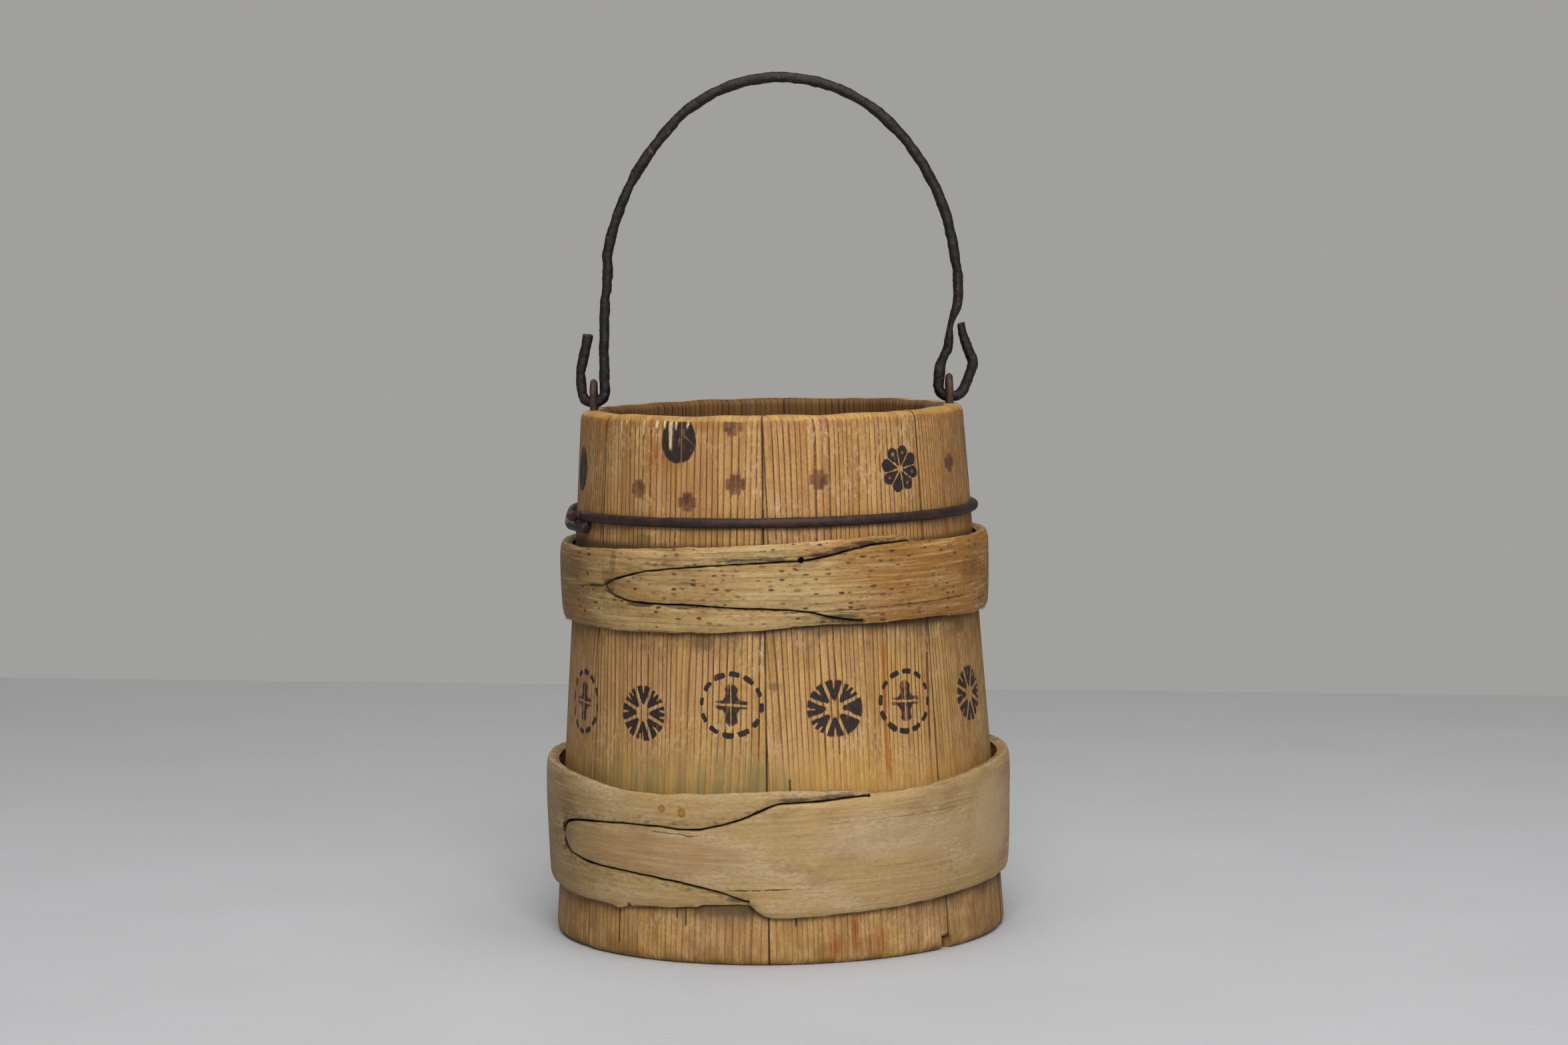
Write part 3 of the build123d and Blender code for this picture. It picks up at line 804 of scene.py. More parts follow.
LOWER_LAP = {
    "node": "lower_hoop", "tip": -67.8, "low_end": -7.6, "high_end": 22.0,
    "tongue_sink": 1.6, "prong_sinks": {LOW_PRONG: 1.4, HIGH_PRONG: 0.5},
    "lumps": [(-43.0, 2.2, 1.1 * MM)],
    "top": [
        (-180, 67), (-100, 68), (-70, 67.2), (-56.5, 65.6), (-49, 64.4), (-40, 62.9), (-30, 62.6),
        (-18, 63.5), (-0.7, 64.5), (4.6, 64.5), (12, 63.8), (20, 62.9), (22, 62.4), (24, 62.1),
        (31, 62.2), (42, 63.2), (57.5, 65.6), (70, 67.2), (100, 68),
    ],
    "bottom": [
        (-180, 21.5), (-80, 20.5), (-56, 19.3), (-40, 19.5), (-31, 20.2), (-20.4, 20.9), (-19.6, 22.1),
        (-8.2, 22.6), (-7.3, 22.9), (-5.6, 20.4), (-3.7, 18.4), (-1.6, 17.6), (9, 17.8), (20, 18.6),
        (31, 19.3), (42, 20.1), (55, 21.2), (71, 22), (110, 21.5),
    ],
    "high_slit": [
        (-180, 52), (-95, 51), (-75, 44), (-68.2, 41.9), (-67.8, 41.9), (-67.2, 43.8), (-66, 45.6),
        (-64, 47.1), (-58, 48.9), (-49, 49.9), (-39, 50.6), (-30, 50.8), (-24, 50.1), (-18.6, 50.4),
        (-13, 52.4), (-9.5, 53.9), (-6, 56.2), (-2.5, 58.7), (0, 60), (10, 60.6), (20, 61.7),
        (22, 61.8), (22.6, 61), (40, 58), (80, 52),
    ],
    "low_slit": [
        (-180, 36), (-95, 35), (-75, 39), (-68.2, 41), (-67.8, 41), (-67.2, 39.1), (-66, 37.6),
        (-63, 35.7), (-53, 33.6), (-44, 33.1), (-37, 32.4), (-30.6, 31.5), (-22.7, 29.8), (-17, 28.1),
        (-13.5, 26.8), (-9.9, 24.8), (-7.6, 23.6), (-7.1, 23.7), (-2, 28), (20, 34), (80, 36),
    ],
    "slit": [
        (-95, 0.1), (-69, 0.25), (-66, 0.45), (-62, 0.25), (-50, 0.1), (-30, 0.05), (-12, 0.06),
        (0, 0.1), (12, 0.12), (22, 0.1), (60, 0.1),
    ],
}


def lap_line(stops):
    """A height in metres over the azimuth in degrees, through stops of (azimuth, millimetres)."""
    turns, levels = zip(*sorted(stops))
    places = np.arange(0, 360, LINE_PACE)
    asides = (-LINE_BLUR, 0, LINE_BLUR)
    shifted = [np.interp(places + aside, turns, levels, period=360) for aside in asides]
    heights = [float(height) for height in sum(shifted) * (MM / len(asides))]

    def level(degrees):
        share = degrees % 360 / LINE_PACE
        first = math.floor(share)
        here, there = heights[first % len(heights)], heights[(first + 1) % len(heights)]
        return here + (there - here) * (share - first)

    return level


def hoop_columns(lap):
    """The azimuths of the hoop's columns, close together at the lap and closest at its ends."""
    ends = sorted((lap["tip"], lap["low_end"], lap["high_end"]))
    turns = [-180.0]
    while turns[-1] < 180:
        here = turns[-1]
        apart = min(abs(here - end) for end in ends)
        lapped = ends[0] - BEFORE_LAP < here < ends[-1] + AFTER_LAP
        pace = END_PACE if apart < NEAR_END else LAP_PACE if lapped else PLAIN_PACE
        turns.append(min(180.0, here + pace))
    for end in ends:
        turns = [turn for turn in turns if not end - 0.75 * SLIT_END < turn < end + 0.75 * SLIT_END]
    low, first, last = lap["tip"], lap["low_end"], lap["high_end"]
    turns += [low - SLIT_END, low, first, first + SLIT_END, last, last + SLIT_END]
    return sorted(turns)


def in_lap(lap, row, turn):
    """Whether a face in a row at an azimuth is cut out: the two slits and the gap at the tongue's tip."""
    tip, low_end, high_end = lap["tip"], lap["low_end"], lap["high_end"]
    if row == LOW_SLIT:
        return tip - SLIT_END < turn < low_end + SLIT_END
    if row == HIGH_SLIT:
        return tip - SLIT_END < turn < high_end + SLIT_END
    return LOW_SLIT < row < HIGH_SLIT and tip - SLIT_END < turn < tip


def strip_turn(lap, row, turn):
    """An azimuth along the strip, which starts at the tongue's tip and ends a turn later."""
    on_prong = row < LOW_SLIT and turn < lap["low_end"] or row > HIGH_SLIT and turn < lap["high_end"]
    return turn + 360 if turn < lap["tip"] or on_prong else turn


def row_level(lines, row, turn):
    """The height of a row of the hoop at an azimuth."""
    band, share = row
    place = spot(math.radians(turn), 17, band + 0.5)
    slit = SLIT_SHARE * lines["slit"](turn) + SLIT_WANDER * max(0.0, wave(*place))
    bottom, low, high, top = [lines[key](turn) for key in ("bottom", "low_slit", "high_slit", "top")]
    floor, ceiling = [(bottom, low - slit), (low + slit, high - slit), (high + slit, top)][band]
    return floor + (ceiling - floor) * share


def lap_distance(lap, lines, turn, level, radius):
    """How far a point of the hoop is from the nearer slit."""
    found = []
    for key, end in (("low_slit", lap["low_end"]), ("high_slit", lap["high_end"])):
        inside = min(max(turn, lap["tip"]), end)
        found.append(math.hypot(math.radians(turn - inside) * radius, level - lines[key](inside)))
    return min(found)


# A hoop's usual radius, in millimetres, to measure across its spots.
HOOP_RADIUS = 85.0


def edge_finish(name, pale, shade):
    """The narrow sides of a hoop, darker and dirtier than its face, and dark in the lap's slits."""
    f = Finish(name)
    x, y, z = f.place()
    gap = f.attribute("gap")
    grime = f.clouds(x * 0.3, y * 0.3, z * 0.5, detail=4.0, roughness=0.65)
    fibre = f.clouds(x * 1.4, y * 1.4, z * 1.4, detail=3.0, roughness=0.6)
    colour = f.blend(f.rise(grime, 0.34, 0.66), pale, shade)
    colour = f.blend(f.rise(fibre, 0.5, 0.75) * 0.5, colour, shade)
    packed = f.fall(gap, 1.0, 3.0) * (0.3 + 0.65 * f.rise(grime, 0.42, 0.58))
    colour = f.blend(packed, colour, tint(38, 28, 19))
    return f.coat(colour, 0.75 + 0.1 * fibre, 0.12 * (fibre - 0.5))


def hoop_finish(name, pale, warm, shade, speck, lines, dusty, crumbs, cracks, spots):
    """Split and bent wood: grain along the strip, specks, dirt in the lap, fine cracks and spots, with
    painted shade on its left stretch and beside the slits.
    """
    f = Finish(name)
    along, up, _ = f.split(f.node("ShaderNodeUVMap", {"uv_map": "grain"}, {}))
    along, up = along / MM, up / MM
    gap, prong = f.attribute("gap"), f.attribute("prong")
    x, y, z = f.place()
    turn = f.math("ARCTAN2", x, 0 - y) * (180 / math.pi)

    streak = f.clouds(along * 0.035, up * 0.8, 0.0, detail=5.0, roughness=0.65)
    fibre = f.clouds(along * 0.22, up * 4.6, 3.0, detail=4.0, roughness=0.68)
    patch = f.clouds(along * 0.03, up * 0.07, 7.0, detail=4.0, roughness=0.6)
    grime = f.clouds(along * 0.25, up * 0.6, 11.0, detail=4.0, roughness=0.65)
    dapple = f.clouds(along * 0.5, up * 1.0, 15.0, detail=4.0, roughness=0.7)
    right = f.rise(turn + (patch - 0.5) * 50, 0.0, 40.0) * f.fall(turn, 110.0, 170.0)
    # The left stretch is darker: painted shade where the hoop turns from the light, with some dirt.
    left = f.band(turn, -175.0, -110.0, -66.0, -40.0)
    colour = f.over(
        pale,
        (right, warm),
        (left * 0.75, shade),
        (f.rise(patch, 0.4, 0.66) * 0.5, warm),
        (f.rise(streak, 0.48, 0.72) * (0.75 * lines), shade),
        (f.rise(streak, 0.5, 0.3) * (0.45 * lines), tint(212, 188, 142)),
        (f.rise(fibre, 0.5, 0.78) * (0.5 * lines), shade),
        (f.rise(fibre, 0.46, 0.24) * (0.32 * lines), tint(220, 198, 160)),
        (f.rise(dapple, 0.52, 0.72) * 0.45, shade))
    dust = f.rise(f.clouds(along * 0.022, up * 0.05, 21.0, detail=4.0, roughness=0.6), 0.46, 0.62)
    colour = f.blend(dust * f.rise(dapple + fibre, 1.25, 0.75) * dusty, colour, tint(200, 180, 156))
    wet = f.rise(f.clouds(along * 0.03, up * 0.06, 27.0, detail=4.0, roughness=0.6), 0.52, 0.68)
    colour = f.blend(wet * 0.4, colour, shade)
    colour = f.blend(f.rise(dapple, 0.46, 0.28) * 0.25, colour, tint(214, 194, 160))

    # Specks: some cells of a pattern, each with its own size and depth of colour.
    apart, drawn = f.node(
        "ShaderNodeTexVoronoi", {"voronoi_dimensions": "2D"},
        {"Vector": f.join(along * 0.24, up * 0.56), "Scale": 1.0, "Randomness": 1.0}, output=(0, 1))
    size, chosen, fresh = f.split(drawn)
    ragged = apart + (dapple - 0.5) * 0.45 + (fibre - 0.5) * 0.6
    strewn = f.clouds(along * 0.05, up * 0.16, 31.0) + 0.12 * (1 - prong)
    fleck = f.fall(ragged, 0.32 * size - 0.06, 0.34 * size + 0.03) * speck
    fleck = fleck * f.rise(chosen + strewn, 1.1, 1.2)
    colour = f.blend(fleck * (0.35 + 0.65 * fresh), colour, tint(78, 48, 27))

    # Dirt and crumbs along the slits, grime with a painted shadow of the tongue's edge on the prongs, and
    # fine cracks.
    dirt = f.fall(gap + (grime - 0.5) * 2.8, 0.1, 0.65) * (0.35 + 0.65 * f.rise(patch, 0.4, 0.56))
    dirt = dirt * (0.5 + 0.5 * prong)
    # Grime and painted shadow: the prong beside a slit darkens, as under the tongue's edge.
    grime_and_shadow_by_slit = f.fall(gap, 0.8, 6.0) * f.rise(grime, 0.46, 0.66) * (0.3 + 0.7 * prong)
    start, end = crumbs
    torn = prong * f.fall(gap + (dapple - 0.5) * 2.6, 1.0, 2.3)
    torn = torn * f.band(turn, start, start + 10, end, end + 3)
    crack = 0.0
    for first, last, low, top, strength in cracks:
        share = (turn - first) / (last - first)
        level = low + (top - low) * share + (f.clouds(turn * 0.35, 5.0) - 0.5) * 1.3
        thin = f.fall(abs(z - level), 0.06, 0.36) * f.band(share, -0.02, 0.08, 0.9, 1.02)
        thin = thin * strength * f.rise(grime, 0.3, 0.55)
        crack = thin if isinstance(crack, float) else crack.most(thin)
    colour = f.blend(grime_and_shadow_by_slit * 0.6, colour, tint(78, 65, 38))
    crumbly = f.blend(f.rise(dapple, 0.4, 0.6), tint(58, 46, 32), tint(122, 100, 66))
    colour = f.blend(torn * 0.8, colour, crumbly)
    for place, level, wide, tall, stain, strength, soft in spots:
        u = (turn - place) * (math.radians(1) * HOOP_RADIUS / wide)
        blot = f.fall(u * u + ((z - level) / tall) ** 2 + (dapple - 0.5) * 0.8, soft, 1.25)
        colour = f.blend(blot * strength * (soft + (1 - soft) * f.rise(streak, 0.3, 0.62)), colour, stain)
    colour = f.blend(dirt.most(crack) * 0.92, colour, tint(42, 31, 21))
    roughness = 0.58 + 0.14 * fibre + 0.2 * dirt
    relief = 0.1 * (streak - 0.5) + 0.08 * (fibre - 0.5) + 0.08 * (dapple - 0.5)
    height = relief - 0.3 * crack - 0.06 * fleck - 0.1 * dirt + 0.5 * torn * (dapple - 0.7)
    return f.coat(colour, roughness, height, **{"Specular IOR Level": 0.35})


# Fine cracks: first and last azimuth, height at both, and strength.
UPPER_CRACKS = [
    (-63, -50, 135.9, 137, 1.0), (0, 64, 128.4, 130.2, 0.7), (-22, 8, 150.2, 151.6, 0.5),
    (10, 30, 129.0, 126.5, 0.6), (-12, 20, 147.9, 149.6, 0.8),
]
LOWER_CRACKS = [
    (-12.3, 3, 28.0, 28.6, 1.0), (-32, -19, 48.9, 47.6, 0.8), (10, 48, 52, 53.5, 0.35),
]
# The slits' colour, the second here, is dark crumbs and also painted shade where a lap lies deep.
THUMB_GREY, SLIT_DIRT_AND_SHADE, CRUMB = tint(84, 72, 44), tint(52, 43, 27), tint(66, 44, 28)
RESIN, RESIN_CORE = tint(132, 88, 20), tint(176, 122, 34)

# Spots: azimuth, height, half width, half height, colour, strength, and how evenly they are filled.
UPPER_SPOTS = [
    (-46.5, 146.2, 1.8, 4.6, THUMB_GREY, 0.7, 0.3),
    (62.0, 140.0, 9.0, 6.0, tint(112, 68, 28), 0.6, 0.0),
    (72.0, 128.0, 5.0, 2.0, tint(84, 52, 26), 0.6, 0.2),
    (-66.0, 140.0, 6.0, 9.0, tint(112, 80, 42), 0.6, 0.0),
    (30.0, 140.0, 12.0, 5.0, tint(150, 96, 40), 0.4, 0.0),
    (-52.0, 134.0, 5.0, 2.5, THUMB_GREY, 0.5, 0.1), (-54.0, 136.7, 4.5, 0.8, SLIT_DIRT_AND_SHADE, 0.95, 0.4),
    # At -48 a painted shade round the tongue's tip; at -37 and -25 dirt with painted shade in the lower
    # slit's wide crevice.
    (-48.0, 137.4, 3.2, 3.0, SLIT_DIRT_AND_SHADE, 0.55, 0.2), (-37.0, 131.2, 7.0, 1.2, SLIT_DIRT_AND_SHADE, 0.95, 0.5),
    (-25.0, 130.9, 7.0, 1.0, SLIT_DIRT_AND_SHADE, 0.9, 0.4), (17.0, 126.4, 8.0, 1.3, SLIT_DIRT_AND_SHADE, 0.85, 0.3),
    (-9.0, 147.6, 7.0, 0.8, SLIT_DIRT_AND_SHADE, 0.9, 0.3), (0.5, 147.9, 5.0, 0.9, CRUMB, 0.9, 0.4),
    (12.0, 149.3, 4.0, 1.1, CRUMB, 0.9, 0.4), (17.5, 151.0, 4.0, 1.2, CRUMB, 0.9, 0.4),
    (24.0, 152.9, 5.0, 1.0, CRUMB, 0.85, 0.4),
]
LOWER_SPOTS = [
    (-28.5, 57.4, 1.4, 1.4, RESIN, 0.9, 0.7), (-28.5, 57.4, 0.8, 0.8, RESIN_CORE, 0.8, 0.6),
    (-23.3, 56.3, 1.6, 1.8, RESIN, 0.9, 0.7), (-23.3, 56.3, 0.9, 1.0, RESIN_CORE, 0.8, 0.6),
    (-62.0, 52.0, 8.0, 8.0, tint(120, 88, 48), 0.5, 0.0),
    (-39.5, 19.6, 1.0, 1.6, tint(40, 30, 20), 0.9, 0.6),
    # Painted shade: a greenish grey in the hollow before the tongue's tip.
    (-70.5, 41.5, 3.0, 7.0, tint(112, 104, 70), 0.6, 0.3),
    (-43.5, 20.4, 4.0, 2.0, tint(150, 108, 52), 0.6, 0.3),
    (-33.0, 40.0, 38.0, 8.0, tint(156, 120, 84), 0.6, 0.3),
    (30.0, 45.0, 40.0, 8.0, tint(182, 156, 126), 0.4, 0.2),
    # Painted light: a lighter yellow band along the top edge at 16, where it faces up, and a pale patch
    # at 66, where the side falls into shade.
    (16.0, 60.0, 34.0, 2.2, tint(190, 156, 98), 0.5, 0.2),
    (66.0, 46.0, 20.0, 18.0, tint(192, 166, 130), 0.5, 0.3),
    (-44.0, 28.0, 3.0, 2.0, tint(132, 96, 54), 0.5, 0.1),
    # At -66 a painted shade beside the tongue's tip, and at -10.5 a painted shadow where the lower
    # prong's end lies deep; at 4 and 13 crumbs.
    (-66.0, 37.0, 2.0, 1.5, tint(46, 38, 26), 0.7, 0.4), (4.0, 61.3, 6.0, 0.9, SLIT_DIRT_AND_SHADE, 0.8, 0.3),
    (13.0, 61.9, 6.0, 0.8, SLIT_DIRT_AND_SHADE, 0.8, 0.3), (-10.5, 24.6, 4.5, 1.3, SLIT_DIRT_AND_SHADE, 0.6, 0.3),
]

# The peg hole in the upper hoop: azimuth, height and radius.
PEG_HOLE = (math.radians(6.9), 147.7 * MM, 1.25 * MM)
DRILL_LENGTH, DRILL_STAND = 20 * MM, 5 * MM


def drill(obj, turn, level, radius):
    """Bores a small hole into a piece, pointing at the pail's axis."""
    bpy.ops.object.select_all(action="DESELECT")
    bpy.ops.mesh.primitive_cylinder_add(
        vertices=24, radius=radius, depth=DRILL_LENGTH, rotation=(math.pi / 2, 0, turn),
        location=spot(turn, wall_radius(level) + DRILL_STAND, level))
    bit = new_piece("drill_bit")
    apply(obj, "BOOLEAN", operation="DIFFERENCE", object=bit, solver="EXACT")
    bpy.data.objects.remove(bit)


def hoop(lap, name, finish, edging):
    """A bent strip whose tongue lies in its own fork: a grid, slit, laid round the pail and thickened."""
    corners = points(lap["node"])
    bottom, top = min(p.z for p in corners), max(p.z for p in corners)
    low_radius = max(reach(p) for p in corners if p.z < bottom + EDGE_STRIP)
    high_radius = max(reach(p) for p in corners if p.z > top - EDGE_STRIP)
    thickness = high_radius - min(map(reach, corners))
    lines = {key: lap_line(lap[key]) for key in ("top", "bottom", "high_slit", "low_slit", "slit")}
    turns = hoop_columns(lap)
    columns, rows = len(turns) - 1, len(HOOP_ROWS) - 1
    prong_ends = {LOW_PRONG: lap["low_end"], HIGH_PRONG: lap["high_end"]}

    bpy.ops.object.select_all(action="DESELECT")
    bpy.ops.mesh.primitive_grid_add(x_subdivisions=columns, y_subdivisions=rows, size=1, calc_uvs=True)
    obj = new_piece(name)

    def cell(place):
        """The column and row of a point of the flat grid."""
        return (place.x + 0.5) * columns, (place.y + 0.5) * rows

    def face_cell(middle):
        """The row of a face of the flat grid, by its middle, and the azimuth halfway along it."""
        column, row = (math.floor(share) for share in cell(middle))
        return row, (turns[column] + turns[column + 1]) / 2

    edit(obj)
    bpy.ops.mesh.select_mode(type="FACE")
    mesh = bmesh.from_edit_mesh(obj.data)
    for face in mesh.faces:
        face.select_set(in_lap(lap, *face_cell(face.calc_center_median())))
    bmesh.update_edit_mesh(obj.data)
    bpy.ops.mesh.delete(type="FACE")
    bpy.ops.object.mode_set(mode="OBJECT")

    # The strip's own length and height, for the grain, before the grid is bent round.
    data = obj.data
    data.uv_layers[0].name = "grain"
    grain = data.uv_layers["grain"].data
    for face in data.polygons:
        row, halfway = face_cell(face.center)
        ahead = strip_turn(lap, row, halfway) - halfway
        for loop in face.loop_indices:
            across, up = (round(share) for share in cell(data.vertices[data.loops[loop].vertex_index].co))
            level = row_level(lines, HOOP_ROWS[up], turns[across])
            grain[loop].uv = math.radians(turns[across] + ahead) * low_radius, level

    # Each point keeps its distance to the nearer slit, in millimetres, and whether it is on a prong. An
    # edge of the hoop counts as clear of the slits, because its side is not one of theirs.
    data.attributes.new("gap", "FLOAT", "POINT")
    data.attributes.new("prong", "FLOAT", "POINT")
    gap, prong = data.attributes["gap"].data, data.attributes["prong"].data
    for vertex in data.vertices:
        across, up = (round(share) for share in cell(vertex.co))
        turn, (band, share) = turns[across], HOOP_ROWS[up]
        level = row_level(lines, (band, share), turn)
        near = lap_distance(lap, lines, turn, level, low_radius)
        gap[vertex.index].value = max(near / MM, CLEAR_OF_SLIT if up in (0, rows) else 0.0)
        prong[vertex.index].value = float(band != TONGUE)
        foot, head = lines["bottom"](turn), lines["top"](turn)
        rise = (level - foot) / (head - foot)
        radius = low_radius + (high_radius - low_radius) * rise - BULGE
        worn = 0.35 + 1.3 * max(0.0, wave(*spot(math.radians(turn), 8, band + 4.2)))
        radius += BULGE * 4 * rise * (1 - rise) - GROOVE_DEPTH * worn * bell(near, GROOVE_WIDTH)
        radius -= EDGE_WEAR * (bell(level - foot, LOW_EDGE) + bell(head - level, HIGH_EDGE))
        past_tip = math.radians(turn - lap["tip"]) * low_radius
        if past_tip < 0:
            beside = level - lines["low_slit"](lap["tip"])
            radius -= HOLLOW_DEPTH * bell(past_tip, HOLLOW_LENGTH) * bell(beside, HOLLOW_HEIGHT)
        if band == TONGUE and lap["tip"] <= turn < lap["high_end"]:
            radius -= lap["tongue_sink"] * MM * math.exp(-past_tip / TONGUE_RISE)
        if band != TONGUE and lap["tip"] < turn <= prong_ends[band]:
            sunk = step(turn, prong_ends[band] - SINK_START, prong_ends[band] - SINK_FULL)
            radius -= lap["prong_sinks"][band] * MM * sunk
        vertex.co = spot(math.radians(turn), radius, level)
    data.update()

    edit(obj)
    bpy.ops.mesh.select_all(action="SELECT")
    bpy.ops.mesh.remove_doubles(threshold=MERGE)
    bpy.ops.object.mode_set(mode="OBJECT")
    for each in (finish, edging):
        data.materials.append(each.material)
    apply(obj, "SOLIDIFY", thickness=thickness, offset=-1.0, use_rim=True, material_offset_rim=1)
    apply(obj, "SUBSURF", levels=1, render_levels=1)

    def wear(place):
        """Makes the strip and its edges uneven, and keeps it clear of the staves."""
        turn, radius, level = azimuth(place), reach(place), place.z
        degrees, aside, ahead = math.degrees(turn), math.sin(turn), math.cos(turn)
        radius += STRIP_SWELL * wave(aside * 7, ahead * 7, level * 50)
        low_edge = bell(level - lines["bottom"](degrees), NIBBLE_BAND)
        high_edge = bell(level - lines["top"](degrees), NIBBLE_BAND)
        nibbled = 0.4 * wave(aside * 30, ahead * 30, 2) + wave(aside * 9, ahead * 9, 6)
        level += NIBBLE_DEPTH * (low_edge + high_edge) * nibbled
        for middle, wide, tall in lap["lumps"]:
            lump = bell(degrees - middle, wide) * low_edge
            radius, level = radius + 0.5 * tall * lump, level - tall * lump
        return spot(turn, max(radius, wall_radius(level) + STAVE_ROOM), level)

    reshape(obj, wear)
    if "hole" in lap:
        drill(obj, *lap["hole"])
    smooth(obj, 45)
    dress(obj, finish, "pail", "hoop_wood", lap["node"])


# Tufts of fibres on the upper hoop's lower edge: azimuth, half spread in degrees, and number.
TUFTS = [
    (77.0, 4.0, 9), (-77.0, 5.0, 8), (27.0, 3.0, 7), (-37.0, 6.0, 5), (-20.0, 3.0, 3), (45.0, 10.0, 4),
    (140.0, 30.0, 8), (-130.0, 30.0, 8),
]
FIBRE_RADIUS, FIBRE_LENGTH, FIBRE_ROOT = 0.07 * MM, 3.0 * MM, 2.4 * MM


def fibre_finish():
    """Dry wood fibres."""
    f = Finish("hoop_fibres")
    x, y, z = f.place()
    dusty = f.clouds(x * 0.8, y * 0.8, z * 0.8, detail=2.0)
    return f.coat(f.blend(dusty, tint(190, 162, 112), tint(128, 96, 56)), 0.8 - 0.1 * dusty, 0.02 * dusty)


def frayed_fibres():
    """Loose fibres along the upper hoop's lower edge, each a thin bent rod."""
    edge = lap_line(UPPER_LAP["bottom"])
    radius = max(map(reach, points("upper_hoop")))
    strands = bpy.data.curves.new("frayed_fibres", "CURVE")
    strands.dimensions, strands.bevel_depth, strands.bevel_resolution = "3D", FIBRE_RADIUS, 0
    strands.resolution_u, strands.use_fill_caps = 3, True
    for middle, spread, count in TUFTS:
        for number in range(count):
            degrees = middle + spread * 1.6 * wave(middle, number * 7.7, 0.5)
            lean, curl = wave(middle, number * 3.1, 4.5), wave(middle, number * 5.3, 8.5)
            length = FIBRE_LENGTH * (0.7 + 0.8 * abs(wave(middle, number * 9.1, 2.5)))
            strand = strands.splines.new("BEZIER")
            strand.bezier_points.add(2)
            for share, point in zip((0.0, 0.5, 1.0), strand.bezier_points):
                turn = math.radians(degrees + 5 * lean * share)
                out = radius - FIBRE_ROOT + share * (1.6 + curl) * MM
                drop = (0.9 - share * (0.8 + 0.4 * curl)) * length * 0.5
                point.co = spot(turn, out, edge(degrees) + drop)
                point.handle_left_type = point.handle_right_type = "AUTO"
    obj = bpy.data.objects.new("frayed_fibres", strands)
    bpy.context.scene.collection.objects.link(obj)
    take(obj)
    bpy.ops.object.convert(target="MESH")
    obj.data.materials.append(fibre_finish().material)
    smooth(obj, 60)
    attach(obj, "pail")


# Iron


def iron_finish(name, dark, rust, amount):
    """Blackened iron with brown rust and pits."""
    f = Finish(name)
    x, y, z = f.place()
    coarse = f.clouds(x * 0.22, y * 0.22, z * 0.22, detail=4.0, roughness=0.6)
    fine = f.clouds(x * 1.4, y * 1.4, z * 1.4, detail=4.0, roughness=0.65)
    spots = f.clouds(x * 0.35 + 40, y * 0.35, z * 0.35, detail=3.0)
    colour = f.blend(f.rise(coarse, 0.4, 0.62), dark, rust)
    colour = f.blend(f.rise(fine, 0.56, 0.74) * 0.4, colour, tint(78, 62, 54))
    ochre = f.rise(spots + (fine - 0.5) * 0.3, 0.72 - amount, 0.8 - amount)
    colour = f.blend(ochre * 0.8, colour, tint(126, 78, 32))
    roughness = 0.42 + 0.3 * coarse + 0.2 * ochre
    height = 0.3 * (coarse - 0.5) + 0.22 * (fine - 0.5)
    return f.coat(colour, roughness, height, **{"Metallic": 0.25, "Specular IOR Level": 0.5})


# Where the rod strays from the frame, in millimetres: x and z of a place on the bail, and its move in x.
BAIL_BENDS = [
    (70.6, 244.5, 1.0), (68.0, 234.0, 1.9), (66.4, 227.0, 2.1), (64.2, 220.4, 2.9), (63.4, 213.5, 0.9),
    (63.5, 208.0, 0.3), (64.0, 204.5, 0.0), (74.3, 206.5, 0.0), (75.7, 210.0, 0.4), (76.6, 213.5, 1.0),
    (77.3, 217.0, -0.2), (76.6, 220.4, -0.6), (75.6, 223.8, -0.9), (74.7, 227.3, -1.2),
    (73.8, 230.7, -1.1), (-64.1, 247.8, 1.4), (-64.2, 239.2, 0.75), (-63.9, 230.5, 0.2),
    (-63.5, 222.0, -0.2), (-63.5, 213.3, -0.2), (-64.0, 206.0, 0.0), (-71.1, 230.5, 1.0),
    (-71.6, 227.0, 0.65), (-72.9, 220.0, 0.6), (-73.5, 215.0, 0.2), (-72.8, 210.0, 0.2),
    (-71.0, 205.0, 0.0),
]
BEND_REACH, BEND_FADE = 4.5, 0.05

# How fine the iron's mesh is, and its lumps: their size and how far they swell the rod.
ROD_VOXEL, STAPLE_VOXEL = 0.45 * MM, 0.3 * MM
BAIL_LUMPS = [(8 * MM, 1.0 * MM), (3 * MM, 0.55 * MM), (1.2 * MM, 0.25 * MM)]
WIRE_LUMPS, STAPLE_LUMPS = [(9 * MM, 0.5 * MM)], [(3 * MM, 0.3 * MM)]


def strayed(place):
    """A point of the bail, moved as its nearest bends are."""
    weights = [bell(math.hypot(place.x / MM - x, place.z / MM - z), BEND_REACH) for x, z, _ in BAIL_BENDS]
    move = sum(weight * bend[2] for weight, bend in zip(weights, BAIL_BENDS)) / (sum(weights) + BEND_FADE)
    return place + Vector((move * MM, 0, 0))


def forged(node, name, voxel, lumps, finish, body, slot, bend=None):
    """An iron piece: the node's rod, uneven as hammered and rusted rod is."""
    obj = bpy.data.objects.new(name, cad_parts[node].data.copy())
    obj.data.materials.clear()
    bpy.context.scene.collection.objects.link(obj)
    edit(obj)
    close_edit()
    apply(obj, "REMESH", mode="VOXEL", voxel_size=voxel)
    apply(obj, "SMOOTH", factor=0.5, iterations=3)
    if bend:
        reshape(obj, bend)
    for size, strength in lumps:
        hammered = bpy.data.textures.new(f"{name}_lumps", "CLOUDS")
        hammered.noise_scale, hammered.noise_depth = size, 2
        apply(obj, "DISPLACE", texture=hammered, strength=strength, mid_level=0.5, texture_coords="LOCAL")
    smooth(obj, 60)
    dress(obj, finish, body, slot, node)


# The stage


